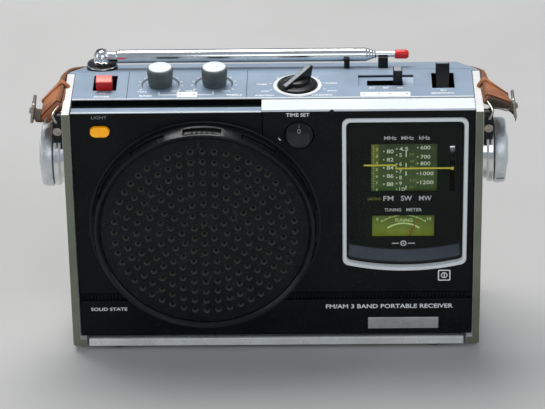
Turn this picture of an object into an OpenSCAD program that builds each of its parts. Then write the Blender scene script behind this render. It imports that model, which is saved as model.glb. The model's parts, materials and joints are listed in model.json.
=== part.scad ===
// Three-band portable transistor radio with a round raised speaker, a lit dial
// window, top controls, side knobs, a folded telescopic antenna and a carrying strap.
// Cabinet coordinates: X to the right, Y from the front edge of the side trims to the
// rear, Z up from the bottom strip. on_base() moves them to the part's own origin.

/* [Cabinet] */
// Width over the two side trims
cabinet_w = 236; // [232:1:242]
// Height of the side trims
cabinet_h = 151; // [151:0.5:153]
// Depth of the side trims, from their front edge
trim_d = 52; // [51:0.5:53]
// Depth of the cabinet, from the front edge of the trims to the rear face
cabinet_d = 79; // [78:0.5:81]
// Thickness of a side trim
trim_t = 4.3; // [4:0.1:4.6]
// Set-back of the black front panels behind the trims
panel_y = 3.8; // [3.4:0.1:4]
// Wall thickness of the moulded panels
wall = 2.4; // [2:0.1:2.6]
// Height of the rubber feet
foot_h = 2.5; // [2:0.5:4]

/* [Speaker] */
// Distance of the speaker centre from the middle of the cabinet
speaker_x = -39.5; // [-41:0.5:-38]
// Height of the speaker centre
speaker_z = 78.3; // [77:0.1:80]
// Outer radius of the speaker bezel
bezel_r = 65.15; // [64:0.05:65.5]
// Radius of the perforated grille
grille_r = 59.2; // [58:0.1:59.3]
// Number of hole rings round the middle hole
hole_rings = 8; // [4:1:8]
// Distance between hole rings
hole_pitch = 6.43; // [6:0.01:6.5]
// Diameter of a grille hole
hole_d = 3.5; // [2.5:0.1:4]
// Number of vent slots in the bezel
bezel_slots = 12; // [6:1:12]

/* [Dial] */
// Outer width of the dial frame
dial_w = 71.2; // [70:0.1:72]
// Distance of the dial centre from the middle of the cabinet
dial_x = 74.3; // [74:0.1:75]
// Height of the top edge of the dial frame
dial_top = 145.3; // [144:0.1:146]
// Height of the lowest point of the dial frame
dial_bottom = 47.1; // [46:0.1:49]
// Width of the bright rim of the dial frame
dial_rim = 2.4; // [2:0.1:3]
// Height of the pointer on the right half of the dial
pointer_z = 110.3; // [109:0.1:112]

/* [Side knobs] */
// Radius of the volume and tuning knobs
side_knob_r = 18.7; // [17:0.1:19]
// Thickness of the volume and tuning knobs
side_knob_t = 6.8; // [6:0.1:7.5]
// Distance of the side knob axis behind the front edge of the trims
side_knob_y = 26; // [25:0.5:28]
// Height of the side knob axis
side_knob_z = 113.4; // [113:0.2:114]

/* [Antenna] */
// Outer diameter of the largest tube
tube_d = 8; // [7.6:0.1:8]
// Length of each antenna tube
tube_len = 147.5; // [140:0.5:148]
// Distance of the tube axis behind the front edge of the trims
antenna_y = 64; // [63.5:0.5:64]
// Height of the tube axis
antenna_z = 156; // [155.9:0.1:156.4]

/* [Strap] */
// Width of the leather strap
strap_w = 16; // [14:1:18]
// Thickness of the leather strap
strap_t = 2.8; // [2:0.1:3]

/* [Hidden] */

eps = 0.01;
fit = 0.05;                               // running fit, on the radius
half_w = cabinet_w / 2;
inner_w = half_w - trim_t - 0.3;          // half width inside the trims
grille_front = -7.4;                      // foremost point of the grille
strap_back = 92.4;                        // rearmost point of the strap
middle_y = (grille_front + strap_back) / 2;
strip_h = 4.8;
panel_back = panel_y + wall;
floor_z = strip_h + 0.2;
top_z = cabinet_h;
seam_x = -6;
chin_top = 28.2;
rib_top = 33;
black = [0.07, 0.08, 0.08];
satin = [0.76, 0.77, 0.76];
panel_grey = [0.50, 0.56, 0.63];

// Moves cabinet coordinates to the part's origin, under the middle of the radio
module on_base() translate([0, -middle_y, foot_h]) children();

// Mirrored copy on both sides of the cabinet
module both_sides() for (s = [0, 1]) mirror([s, 0, 0]) children();

// Box from its lowest to its highest corner
module block(a, b) translate(a) cube(b - a);

// Cylinders along X, Y and Z, from a centre point
module rod_x(p, d, len) translate(p) rotate([0, 90, 0]) cylinder(d = d, h = len, $fn = 64);
module rod_y(p, d, len) translate(p) rotate([-90, 0, 0]) cylinder(d = d, h = len, $fn = 64);
module rod_z(p, d, len) translate(p) cylinder(d = d, h = len, $fn = 64);

// Solid of revolution round a line along Y, from [radius, y] points
module turn_y(x, z, points, angle = 360, from = 0)
    translate([x, 0, z]) rotate([-90, 0, 0]) rotate([0, 0, from])
        rotate_extrude(angle = angle, $fn = 128) polygon(points);

// Solid of revolution round a line along X, from [radius, x] points
module turn_x(y, z, points)
    translate([0, y, z]) rotate([0, 90, 0]) rotate_extrude($fn = 128) polygon(points);

// Solid of revolution round a line along Z, from [radius, z] points
module turn_z(x, y, points) translate([x, y, 0]) rotate_extrude($fn = 96) polygon(points);

// Outline in X and Z, raised from y0 to y1
module plate_y(y0, y1) translate([0, y1, 0]) rotate([90, 0, 0]) linear_extrude(y1 - y0) children();

// Outline in Y and Z, raised from -w to w
module bar_x(w) rotate([90, 0, 90]) translate([0, 0, -w]) linear_extrude(2 * w) children();

function arc(c, r, a0, a1, n) =
    [for (i = [0:n]) let (a = a0 + (a1 - a0) * i / n) [c[0] + r * cos(a), c[1] + r * sin(a)]];

// Rounded rectangle outline
function round_rect(x0, z0, x1, z1, r, n = 6) = concat(
    arc([x1 - r, z1 - r], r, 0, 90, n), arc([x0 + r, z1 - r], r, 90, 180, n),
    arc([x0 + r, z0 + r], r, 180, 270, n), arc([x1 - r, z0 + r], r, 270, 360, n));

// ---------------------------------------------------------------- cabinet

module trim() {
    slot_x = half_w - 7.7;
    block([half_w - trim_t, 0, 2], [half_w, trim_d, top_z]);
    block([slot_x, 0, 0], [half_w - 2, trim_d, strip_h]);
    block([half_w - trim_t, 0, 0], [half_w - 2, trim_d, 2]);
    translate([half_w - 2, 0, 2]) rod_y([0, 0, 0], 4, trim_d);
}

module trim_with_hole() difference() {
    trim();
    rod_x([half_w - 10, side_knob_y, side_knob_z], 8, 20);
}

module side_trim_left() color(satin) on_base() mirror([1, 0, 0]) trim_with_hole();

module side_trim_right() color(satin) on_base() trim_with_hole();

module bottom_plate() color(satin) on_base() {
    w = half_w - 9.3;
    block([-w, 0, 0], [w, 2, strip_h]);
    block([-w, 2, 0], [w, trim_d, 1.6]);
}

// Inner frame: floor, two side walls and four screw posts
module chassis() color(black) on_base() difference() {
    union() {
        block([-inner_w, 7, floor_z], [inner_w, trim_d - 0.3, floor_z + wall]);
        both_sides() block([inner_w - wall, 7, floor_z + wall - eps],
            [inner_w, trim_d - 0.3, top_z - 7.4]);
        both_sides() for (z = [14, 124])
            block([inner_w - 9, 38, z], [inner_w - wall + eps, trim_d - 0.3, z + 9]);
    }
    both_sides() rod_x([inner_w - 10, side_knob_y, side_knob_z], 9, 20);
    both_sides() for (z = [14, 124]) rod_y([inner_w - 5.4, 40, z + 4.5], 2.6, 20);
}

module speaker_opening() rod_y([speaker_x, panel_y - 2, speaker_z], 116.4, 12);

module pill(x0, z0, x1, z1, y0, y1)
    plate_y(y0, y1) polygon(round_rect(x0, z0, x1, z1, (z1 - z0) / 2 - eps, 10));

light_box = [[-102.5, 135.4], [-91.8, 141.4]];

module speaker_panel() color(black) on_base() difference() {
    union() {
        block([-inner_w, panel_y, rib_top + 0.2], [seam_x - 0.15, panel_back, top_z - 1]);
        block([-inner_w, panel_back - eps, top_z - 3.4], [seam_x - 0.15, 10, top_z - 1]);
        block([-inner_w, 10 - eps, top_z - 5.4], [seam_x - 0.15, panel_front - 0.1, top_z - 3.4]);
        block([-inner_w, 9, top_z - 5.4], [seam_x - 0.15, 10, top_z - 3.4 + eps]);
    }
    speaker_opening();
    pill(light_box[0][0] - 0.35, light_box[0][1] - 0.35, light_box[1][0] + 0.35,
        light_box[1][1] + 0.35, panel_y - 1, panel_back + 1);
}

set_dial = [14.7, 135.1];

module dial_panel() color(black) on_base() difference() {
    block([seam_x + 0.15, panel_y, rib_top + 0.2], [inner_w, panel_back, top_z - 1.2]);
    speaker_opening();
    plate_y(panel_y - 1, panel_back + 1) polygon(dial_points(0));
    rod_y([set_dial[0], 0, set_dial[1]], 16.8, 12);
}

module chin_panel() color(black) on_base() difference() {
    block([-inner_w, panel_y, strip_h + 0.1], [inner_w, panel_back, chin_top]);
    speaker_opening();
}

rib_pitch = 2.05;
rib_count = floor(2 * inner_w / rib_pitch);

// Ribbed strip in the groove between the panels and the chin
module rib_strip() color(black) on_base() difference() {
    union() {
        block([-inner_w, panel_y + 1.6, chin_top + 0.1], [inner_w, panel_back + 0.8, rib_top]);
        for (i = [0:rib_count - 1])
            translate([-inner_w + 0.5 + i * rib_pitch, 0, 0])
                block([0, panel_y + 0.4, chin_top + 0.1], [1, panel_y + 1.6 + eps, rib_top]);
    }
    rod_y([speaker_x, 0, speaker_z], 116.4, 20);
}

// ---------------------------------------------------------------- top panel

panel_front = 18.5;
crease_y = 54.5;
slope_end = [77.4, 144.4];
knob_y = 37;
bass_x = -64;
treble_x = -33.2;
function_at = [13.9, 33.6];
power_x = -95.6;
sens_x = 96.5;
slot_y = [29.4, 49];
band_well = [[48.3, 33], [80, 47]];
band_slot = [[53.4, 35], [73.8, 42.4]];
band_lever_w = 5.2;

function side_at(y) = half_w - 0.5 - max(0, y - trim_d) * 0.455;

module top_outline() polygon([[-inner_w, panel_front], [inner_w, panel_front],
    [inner_w, trim_d + 0.3], [side_at(trim_d + 0.3), trim_d + 0.3],
    [side_at(slope_end[0]), slope_end[0]], [-side_at(slope_end[0]), slope_end[0]],
    [-side_at(trim_d + 0.3), trim_d + 0.3], [-inner_w, trim_d + 0.3]]);

module top_panel() color(panel_grey) on_base() difference() {
    intersection() {
        translate([0, 0, 130]) linear_extrude(30) top_outline();
        bar_x(half_w) polygon([[panel_front, top_z - 7], [panel_front, top_z],
            [crease_y, top_z], slope_end, slope_end - [0, wall], [crease_y, top_z - wall],
            [panel_front + wall, top_z - wall], [panel_front + wall, top_z - 7]]);
    }
    block([power_x - 6.8, slot_y[0], 130], [power_x + 6.8, slot_y[1], 160]);
    block([sens_x - 6.5, slot_y[0], 130], [sens_x + 6.5, slot_y[1], 160]);
    for (x = [bass_x, treble_x]) rod_z([x, knob_y, 130], 7, 30);
    rod_z([function_at[0], function_at[1], 130], 8, 30);
    block([band_slot[0][0], band_slot[0][1], 130], [band_slot[1][0], band_slot[1][1], 160]);
    block([band_well[0][0], band_well[0][1], top_z - 1.2], [band_well[1][0], band_well[1][1], 160]);
    rod_z([antenna_base[0], antenna_base[1], 130], 10, 30);
}

// Bright strip over the dial side, and the dark channel behind the speaker ledge
module top_strip() color(satin) on_base() {
    block([seam_x - 0.2, panel_y - 0.2, top_z - 1.1], [inner_w, 16.6, top_z + 0.3]);
    block([seam_x + 0.5, panel_back + 0.2, top_z - 3.4], [inner_w, 16.2, top_z - 1.1 + eps]);
}

// ---------------------------------------------------------------- rear

door_box = [[-80, 9.4], [80, 46]];

module rear_plan(inset) polygon([for (s = [-1, 1], y = s < 0 ? [trim_d + 0.3, cabinet_d - inset]
    : [cabinet_d - inset, trim_d + 0.3]) [s * (side_at(y) - inset), y]]);

function rear_profile(inset) = [[trim_d + 0.3, 0.6 + inset], [cabinet_d - 5, 2.6 + inset],
    [cabinet_d - inset, 7 + inset], [cabinet_d - inset, 140.2 - inset / 2],
    [slope_end[0], slope_end[1] - wall - 0.2 - inset], [trim_d + 0.3, top_z - wall - 0.6 - inset]];

module rear_solid(inset) intersection() {
    translate([0, 0, -5]) linear_extrude(170) rear_plan(inset);
    bar_x(half_w) polygon(rear_profile(inset));
}

// Holes of the earphone jack and of the supply jack: height and diameter
jacks = [[74, 3.6], [58, 5.6]];
jack_x = -92;
hinge_at = [cabinet_d - 1.5, door_box[0][1] + 1.9];
hinge_xs = [-60, 0, 60];
hinge_half = 6;

module rear_cover() color(black) on_base() {
    rear_shell();
    for (x = hinge_xs) {
        rod_x([x - hinge_half - 0.5, hinge_at[0], hinge_at[1]], 1.2, 2 * hinge_half + 1);
        for (s = [-1, 1])
            block([x + s * (hinge_half + 1) - 0.7, hinge_at[0] - 1.1, door_box[0][1] - 0.5],
                [x + s * (hinge_half + 1) + 0.7, hinge_at[0] + 1.1, hinge_at[1] + 1.1]);
    }
}

module rear_shell() difference() {
    union() {
        difference() {
            rear_solid(0);
            translate([0, -eps, 0]) rear_solid(wall);
        }
        for (j = jacks) rod_y([jack_x, 70.6, j[0]], 9, 6.2);
    }
    block([door_box[0][0], 70, door_box[0][1]], [door_box[1][0], 90, door_box[1][1]]);
    for (j = jacks) rod_y([jack_x, 69, j[0]], j[1], 12);
    for (i = [-4:4]) block([i * 16 - 5, 70, 96], [i * 16 + 5, 90, 98]);
    both_sides() for (z = [18.5, 128.5]) rod_y([98, 70, z], 3.4, 20);
    rod_z([antenna_base[0], antenna_base[1], 130], 11, 30);
}

module battery_door() color(black) on_base() difference() {
    gap = 0.4;
    union() {
        block([door_box[0][0] + gap, cabinet_d - 2.2, door_box[0][1] + 1.6],
            [door_box[1][0] - gap, cabinet_d, door_box[1][1] - gap]);
        for (x = hinge_xs)
            rod_x([x - hinge_half, hinge_at[0], hinge_at[1]], 2.4, 2 * hinge_half);
        for (i = [-3:3]) block([i * 4 - 0.8, cabinet_d - eps, 39], [i * 4 + 0.8, cabinet_d + 0.6, 44]);
    }
    for (x = hinge_xs) {
        rod_x([x - 10, hinge_at[0], hinge_at[1]], 1.2 + 2 * fit, 20);
        for (s = [-1, 1])
            block([x + s * (hinge_half + 1) - 1, 70, 9], [x + s * (hinge_half + 1) + 1, 90, 14]);
    }
}

module rubber_feet() color([0.1, 0.1, 0.1]) on_base() {
    both_sides() for (y = [9, 43]) turn_z(92, y, [[0, -foot_h], [6, -foot_h], [7, -foot_h + 1],
        [7, 0], [0, 0]]);
    both_sides() block([88, 60, -foot_h], [100, 68, 0.6]);
}

module case_screws() color([0.7, 0.7, 0.7]) on_base()
    both_sides() for (z = [18.5, 128.5]) difference() {
        union() {
            rod_y([98, 54, z], 3, 25.2);
            rod_y([98, cabinet_d, z], 6, 1.2);
        }
        block([95.5, cabinet_d + 0.6, z - 0.4], [100.5, cabinet_d + 2, z + 0.4]);
    }

module name_plate() color([0.85, 0.85, 0.85]) on_base()
    block([53.4, panel_y - 0.9, 8.9], [94.2, panel_y, 16.3]);

// ---------------------------------------------------------------- speaker

cone_foot = [64.8, 0.4];
cone_head = [62.6, -6.6];
cone_dir = (cone_head - cone_foot) / norm(cone_head - cone_foot);
cone_out = [-cone_dir[1], cone_dir[0]];
function on_cone(s, depth) = cone_foot + cone_dir * s - cone_out * depth;

module speaker_bezel() color(black) on_base() difference() {
    turn_y(speaker_x, speaker_z, [[57, 8], [57, -3.2], [grille_r + 0.3, -3.2],
        [grille_r + 0.3, -5.4], [61.4, -7], cone_head, cone_foot, [bezel_r, panel_y],
        [57.9, panel_y], [57.9, 8]]);
    for (i = [0:bezel_slots - 1])
        turn_y(speaker_x, speaker_z, [on_cone(1.5, -1), on_cone(5.7, -1), on_cone(5.7, 1.6),
            on_cone(1.5, 1.6)], 19.6, i * 360 / bezel_slots + 80.2);
}

dome_h = 2.8;

module speaker_grille() color([0.05, 0.05, 0.05]) on_base() difference() {
    turn_y(speaker_x, speaker_z, [[0, grille_front], [grille_r / 2, grille_front + dome_h / 4],
        [grille_r, grille_front + dome_h], [grille_r, -3.3], [grille_r - 1.5, -3.3],
        [grille_r / 2, grille_front + dome_h / 4 + 1.4], [0, grille_front + 1.4]]);
    rod_y([speaker_x, -10, speaker_z], hole_d, 12);
    for (k = [1:hole_rings], i = [0:6 * k - 1])
        rod_y([speaker_x + k * hole_pitch * sin(i * 60 / k), -10,
            speaker_z + k * hole_pitch * cos(i * 60 / k)], hole_d, 12);
}

module speaker_basket() color([0.55, 0.55, 0.52]) on_base() difference() {
    turn_y(speaker_x, speaker_z, [[50, 8.2], [56.5, 8.2], [56.5, 10], [51, 10], [24, 32],
        [24, 34], [13, 34], [13, 32], [22, 32], [49, 9.6]]);
    for (i = [0:3]) translate([speaker_x, 0, speaker_z]) rotate([0, 45 + i * 90, 0])
        block([-9, 13, 30], [9, 28, 52]);
}

module speaker_cone() color([0.12, 0.11, 0.1]) on_base()
    turn_y(speaker_x, speaker_z, [[0, 25], [8, 26.5], [12, 27.6], [46, 8.4], [48.5, 8.4],
        [48.5, 9.2], [46.4, 9.2], [12.6, 28.4], [12.6, 31], [11.8, 31], [11.8, 28.6],
        [8, 27.3], [0, 25.8]]);

module speaker_magnet() color([0.3, 0.3, 0.3]) on_base()
    turn_y(speaker_x, speaker_z, [[13.2, 34.1], [27, 34.1], [27, 46], [0, 46], [0, 33],
        [11, 33], [11, 42], [13.2, 42]]);

// ---------------------------------------------------------------- dial

dial_corner = 4;
dial_sag = 4.6;
dial_arc_r = (dial_w * dial_w / 4 + dial_sag * dial_sag) / (2 * dial_sag);

// Outline of the dial window: round top corners and a base that curves down
function dial_points(inset) = let (
        x0 = dial_x - dial_w / 2 + inset, x1 = dial_x + dial_w / 2 - inset,
        r = dial_corner - inset / 2, big = dial_arc_r - inset,
        cz = dial_bottom + dial_arc_r, reach = x1 - r - dial_x, base = asin(reach / (big - r)),
        corner_z = cz - (big - r) * cos(base))
    concat(
        arc([x1 - r, dial_top - inset - r], r, 0, 90, 6),
        arc([x0 + r, dial_top - inset - r], r, 90, 180, 6),
        arc([x0 + r, corner_z], r, 180, 270 - base, 6),
        arc([dial_x, cz], big, 270 - base + 1, 270 + base - 1, 16),
        arc([x1 - r, corner_z], r, 270 + base, 360, 6));

module dial_ring(outer, inner, y0, y1) difference() {
    plate_y(y0, y1) polygon(dial_points(outer));
    plate_y(y0 - 1, y1 + 1) polygon(dial_points(inner));
}

lens_back = panel_y + 2.8;
mask_y = [11.1, 12.1];

module dial_frame() color([0.9, 0.92, 0.9]) on_base()
    dial_ring(0.1, dial_rim, panel_y - 0.8, lens_back);

module dial_lens() color([0.7, 0.85, 0.8, 0.35]) on_base()
    plate_y(lens_back - 1.3, lens_back) polygon(dial_points(dial_rim + 0.1));

module dial_well() color(black) on_base() dial_ring(0.1, 3.4, lens_back, mask_y[0]);

scale_window = [[55.3, 94.7], [92.8, 125.1]];
meter_window = [[55.9, 65.3], [91.4, 79.1]];
pointer_down = 14;
pointer_up = 12;
carrier_x = 101.2;

module window(w) block([w[0][0], mask_y[0] - 2, w[0][1]], [w[1][0], mask_y[1] + 2, w[1][1]]);

module dial_mask() color(black) on_base() difference() {
    plate_y(mask_y[0], mask_y[1]) polygon(dial_points(0.1));
    window(scale_window);
    window(meter_window);
    window([[carrier_x - 1.3, pointer_z - pointer_down - 1.4],
        [carrier_x + 1.3, pointer_z + pointer_up + 1.4]]);
}

module scale_plate() color([0.25, 0.45, 0.2]) on_base()
    block([53, 13.3, 92], [95.2, 14.3, 127.6]);

rail_at = [104.6, 16];

module dial_pointer() color([0.95, 0.8, 0.1]) on_base() difference() {
    union() {
        block([51.1, 9.4, pointer_z + 1.7], [69.6, 10.2, pointer_z + 2.5]);
        block([69, 9.4, pointer_z - 0.4], [carrier_x + 0.9, 10.2, pointer_z + 0.4]);
        block([69, 9.4, pointer_z - 0.4], [69.6, 10.2, pointer_z + 2.5]);
        block([carrier_x - 0.9, 9.4, pointer_z - 0.9], [carrier_x + 0.9, 14, pointer_z + 0.9]);
        block([carrier_x - 0.9, 13, pointer_z - 3], [rail_at[0] + 2.2, 18.2, pointer_z + 3]);
    }
    rod_z([rail_at[0], rail_at[1], pointer_z - 10], 2 + 2 * fit, 20);
}

module pointer_rail() color(satin) on_base() {
    rod_z([rail_at[0], rail_at[1], 90], 2, 40);
    for (z = [90, 126.5]) difference() {
        block([rail_at[0] - 2.5, mask_y[1] + 0.1, z], [rail_at[0] + 2.5, 19, z + 2.6]);
        rod_z([rail_at[0], rail_at[1], z - 1], 2, 5);
    }
}

meter_pivot = [73.7, 57.4];
needle_tilt = 25;

module meter_housing() color([0.85, 0.85, 0.8]) on_base() {
    difference() {
        block([54.4, mask_y[1] + 0.2, 52.6], [93, 20, 81.6]);
        block([55.8, mask_y[1] - 1, 54], [91.6, 15, 80.2]);
        rod_y([meter_pivot[0], 10, meter_pivot[1]], 2 + 2 * fit, 20);
    }
    translate([0, 20, 0]) difference() {
        rod_y([meter_pivot[0], 0, meter_pivot[1]], 10, 3);
        rod_y([meter_pivot[0], -1, meter_pivot[1]], 2 + 2 * fit, 3.2);
    }
}

module meter_needle() color([0.9, 0.3, 0.2]) on_base()
    translate([meter_pivot[0], 0, meter_pivot[1]]) {
        rod_y([0, 13.3, 0], 2, 8.4);
        rotate([0, needle_tilt, 0]) {
            block([-0.35, 13.3, 0.5], [0.35, 13.8, 19.6]);
            block([-1, 13.3, -2.7], [1, 13.8, -0.5]);
        }
        rod_y([0, 13.3, 0], 3.4, 0.9);
    }

module dial_lamp() color([1, 0.9, 0.6]) on_base()
    for (x = [64, 84]) {
        turn_z(x, 18.6, [[0, 82], [2.6, 82], [2.6, 86], [2.1, 86.4], [2.1, 89], [1.2, 90.4], [0, 90.8]]);
        block([x - 3.2, 15.4, 81.7], [x + 3.2, 21.8, 82]);
    }

// ---------------------------------------------------------------- front controls

module light_button() color([0.95, 0.65, 0.1]) on_base() {
    pill(light_box[0][0], light_box[0][1], light_box[1][0], light_box[1][1], 2.2, 9);
    pill(light_box[0][0] - 1.4, light_box[0][1] - 1.4, light_box[1][0] + 1.4,
        light_box[1][1] + 1.4, panel_back + 0.2, panel_back + 1.4);
}

module time_set_dial() color(black) on_base() {
    difference() {
        turn_y(set_dial[0], set_dial[1], [[0, 3.2], [7.6, 3.2], [8, 3.7], [8, 11], [3, 11],
            [3, 20], [0, 20]]);
        translate([set_dial[0], 3.2, set_dial[1] - 8]) rotate([-28, 0, 0])
            block([-6.6, -6, -1], [6.6, 0, 9.2]);
    }
}

// ---------------------------------------------------------------- top controls

lever_pivot = [39.2, 131];
lever_tilt = 16.5;

// Rocking lever on a cross pin; lean is negative towards the front
module lever(x, w, top, lean) translate([x, lever_pivot[0], lever_pivot[1]])
    rotate([lean, 0, 0]) {
        block([-w / 2, -3, 2], [w / 2, 3, top]);
        difference() {
            rod_x([-w / 2, 0, 0], 8, w);
            rod_x([-w / 2 - 1, 0, 0], 2 + 2 * fit, w + 2);
        }
    }

module power_lever() color([0.85, 0.1, 0.08]) on_base() lever(power_x, 9, 28, lever_tilt);

module sensitivity_lever() color(black) on_base() lever(sens_x, 7.8, 28.6, -lever_tilt);

// Switch bodies under the two levers, with the cross pins
module lever_switches() color([0.35, 0.3, 0.25]) on_base()
    for (c = [[power_x, 9], [sens_x, 7.8]]) translate([c[0], lever_pivot[0], 0]) {
        w = c[1] / 2 + 0.4;
        difference() {
            block([-w - 1.6, -6, 124.8], [w + 1.6, 6, 136]);
            block([-w, -7, 126.6], [w, 7, 140]);
        }
        rod_x([-w - 0.1, 0, lever_pivot[1]], 2, 2 * w + 0.2);
    }

module tone_knob(x) difference() {
    turn_z(x, knob_y, [[0, top_z + 0.5], [6.6, top_z + 0.5], [7.3, top_z + 9.6],
        [7.3, top_z + 10.4], [6.7, top_z + 11], [0, top_z + 11.3]]);
    block([x - 0.4, knob_y - 8.2, top_z + 1.5], [x + 0.4, knob_y - 6.8, top_z + 12]);
}

module tone_knob_on_shaft(x) {
    tone_knob(x);
    rod_z([x, knob_y, 138.5], 6, top_z + 0.6 - 138.5);
}

module bass_knob() color([0.55, 0.6, 0.55]) on_base() tone_knob_on_shaft(bass_x);

module treble_knob() color([0.55, 0.6, 0.55]) on_base() tone_knob_on_shaft(treble_x);

wing_turn = 45;

module function_knob() color(black) on_base() translate([function_at[0], function_at[1], 0]) {
    turn_z(0, 0, [[0, top_z + 0.5], [11.2, top_z + 0.5], [11.2, top_z + 2], [10.2, top_z + 2.8],
        [0, top_z + 3]]);
    rotate([0, 0, wing_turn]) plate_y(-2.7, 2.7) polygon([[-10.6, top_z + 2], [10.2, top_z + 2],
        [10.2, top_z + 9.6], [9, top_z + 10], [-10.6, top_z + 4]]);
    rod_z([0, 0, 138.5], 6, top_z + 0.6 - 138.5);
}

module function_ring() color([0.92, 0.92, 0.9]) on_base()
    turn_z(function_at[0], function_at[1], [[11.6, top_z], [13.9, top_z], [13.7, top_z + 0.8],
        [11.6, top_z + 0.8]]);

module band_lever() color([0.2, 0.2, 0.22]) on_base() {
    block([band_slot[1][0] - 0.4 - band_lever_w, band_slot[0][1] + 0.5, 140],
        [band_slot[1][0] - 0.4, band_slot[1][1] - 0.5, top_z + 8]);
}

// Fixed switch and potentiometer bodies under the top panel and behind the side wall
module control_pots() color([0.6, 0.58, 0.5]) on_base() {
    for (x = [bass_x, treble_x]) socket_z(x, knob_y, 17);
    socket_z(function_at[0], function_at[1], 22);
    difference() {
        block([48, 33, 131], [80, 44.4, 143]);
        block([band_slot[0][0] - 1.5, band_slot[0][1] - 0.3, 139.2],
            [band_slot[1][0] + 1.5, band_slot[1][1] + 0.3, 144]);
    }
    difference() {
        rod_x([-inner_w + wall + 0.1, side_knob_y, side_knob_z], 22, 8);
        rod_x([-inner_w + wall - 1, side_knob_y, side_knob_z], 6 + 2 * fit, 7.4);
    }
    difference() {
        block([set_dial[0] - 8, 11.5, set_dial[1] - 8], [set_dial[0] + 8, 21, set_dial[1] + 8]);
        rod_y([set_dial[0], 10, set_dial[1]], 6 + 2 * fit, 10.4);
    }
    difference() {
        rod_x([96.5, side_knob_y, side_knob_z], 12, 2);
        rod_x([95, side_knob_y, side_knob_z], 6 + 2 * fit, 6);
    }
}

module socket_z(x, y, d) difference() {
    rod_z([x, y, 131], d, 12);
    rod_z([x, y, 138], 6 + 2 * fit, 6);
}

// ---------------------------------------------------------------- side knobs

knob_base = half_w + 7.1;

function knob_profile(x0, t, r) = [[0, x0], [r - 0.6, x0], [r, x0 + 0.6], [r, x0 + t - 1],
    [r - 1, x0 + t], [9.6, x0 + t], [9, x0 + t + 1.3], [0, x0 + t + 1.5]];

module side_knob(shaft_in) {
    turn_x(side_knob_y, side_knob_z, knob_profile(knob_base, side_knob_t, side_knob_r));
    rod_x([shaft_in, side_knob_y, side_knob_z], 6, knob_base - shaft_in + 0.1);
}

module tuning_knob() color(satin) on_base() {
    side_knob(95.5);
    rod_x([99.5, side_knob_y, side_knob_z], 6.6, 5);
}

module volume_knob() color(satin) on_base() mirror([1, 0, 0]) side_knob(inner_w - wall - 6);

module knob_collars() color([0.85, 0.85, 0.85]) on_base() both_sides() {
    turn_x(side_knob_y, side_knob_z, [[4, half_w], [16.6, half_w], [16.6, half_w + 3],
        [side_knob_r - 0.2, half_w + 3], [side_knob_r - 0.2, half_w + 6.7], [4, half_w + 6.7]]);
}

// ---------------------------------------------------------------- antenna

antenna_base = [-98.8, antenna_y];
tube_x0 = -93.4;
tube_wall = 0.5;
function tube_od(k) = tube_d - k * (2 * tube_wall + 0.14);
function tube_id(k) = tube_od(k) - 2 * tube_wall;

// Everything below the top panel's upper surface, behind the flat part
module below_slope() bar_x(half_w) polygon([[crease_y - 20, 130], [crease_y - 20, top_z],
    [crease_y, top_z], slope_end, [slope_end[0], 130]]);

module antenna_seat() color(black) on_base() difference() {
    union() {
        rod_z([antenna_base[0], antenna_base[1], 140], 9.8, 11);
        difference() {
            turn_z(antenna_base[0], antenna_base[1], [[0, 145], [8.9, 145], [8.9, top_z],
                [8.1, top_z + 0.6], [0, top_z + 0.6]]);
            below_slope();
        }
    }
    rod_z([antenna_base[0], antenna_base[1], 136], 5 + 2 * fit, 20);
}

ball_r = 4.8;

// Swivel knuckle: a post in the seat, and a round head with a slot for the tube's tongue
module antenna_knuckle() color([0.85, 0.85, 0.85]) on_base() translate([antenna_base[0], antenna_y, 0])
    difference() {
        union() {
            rod_z([0, 0, 141], 5, 12);
            rod_z([0, 0, top_z + 0.9], 2 * ball_r, antenna_z - top_z - 0.9);
            translate([0, 0, antenna_z]) sphere(ball_r, $fn = 64);
        }
        block([-3, -1.8, antenna_z - 3.1], [8, 1.8, antenna_z + 8]);
        rod_y([0, -8, antenna_z], 2, 16);
    }

module antenna_tube() color([0.85, 0.85, 0.85]) on_base() difference() {
    union() {
        rod_x([tube_x0, antenna_y, antenna_z], tube_d, tube_len);
        block([antenna_base[0], antenna_y - 1.5, antenna_z - 2.6],
            [tube_x0 + 3, antenna_y + 1.5, antenna_z + 2.6]);
        rod_y([antenna_base[0], antenna_y - 1.5, antenna_z], 5.2, 3);
        rod_y([antenna_base[0], antenna_y - ball_r, antenna_z], 2 - 2 * fit, 2 * ball_r);
    }
    rod_x([tube_x0 + 3.2, antenna_y, antenna_z], tube_id(0), tube_len);
}

// Where section k starts, each one a little further in than the one round it
function section_x(k) = tube_x0 + 3.2 + k * 0.9;

module section(k) color([0.85, 0.85, 0.85]) on_base() difference() {
    rod_x([section_x(k), antenna_y, antenna_z], tube_od(k), tube_len - 3.2 - k * 0.1);
    rod_x([section_x(k) + 0.5, antenna_y, antenna_z], tube_id(k), tube_len);
}

module antenna_section_2() section(1);

module antenna_section_3() section(2);

module antenna_section_4() section(3);

tip_x = 69.8;

module antenna_rod() color([0.85, 0.15, 0.1]) on_base() {
    rod_x([section_x(4), antenna_y, antenna_z], tube_od(4), tip_x - section_x(4) + 0.5);
    translate([tip_x, antenna_y, antenna_z]) rotate([0, 90, 0]) rotate_extrude($fn = 64)
        polygon([[0, 0], [2.2, 0], [2.65, 0.8], [2.65, 6.6], [1.9, 7.9], [0, 8.2]]);
}

// Rests for the folded antenna: a floor with a lip in front, open to the rear
module antenna_cradles() color(black) on_base()
    for (c = [[40.6, 3.2, tube_d], [60.2, 5.6, tube_od(1)]]) difference() {
        block([c[0], antenna_y - c[2] / 2 - 2.2, 144], [c[0] + c[1], antenna_y + 3, antenna_z + 0.4]);
        block([c[0] - 1, antenna_y - c[2] / 2 - 0.5, antenna_z - c[2] / 2 - 0.4],
            [c[0] + 9, antenna_y + 8, antenna_z + 8]);
        below_slope();
    }

// ---------------------------------------------------------------- strap

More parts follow.
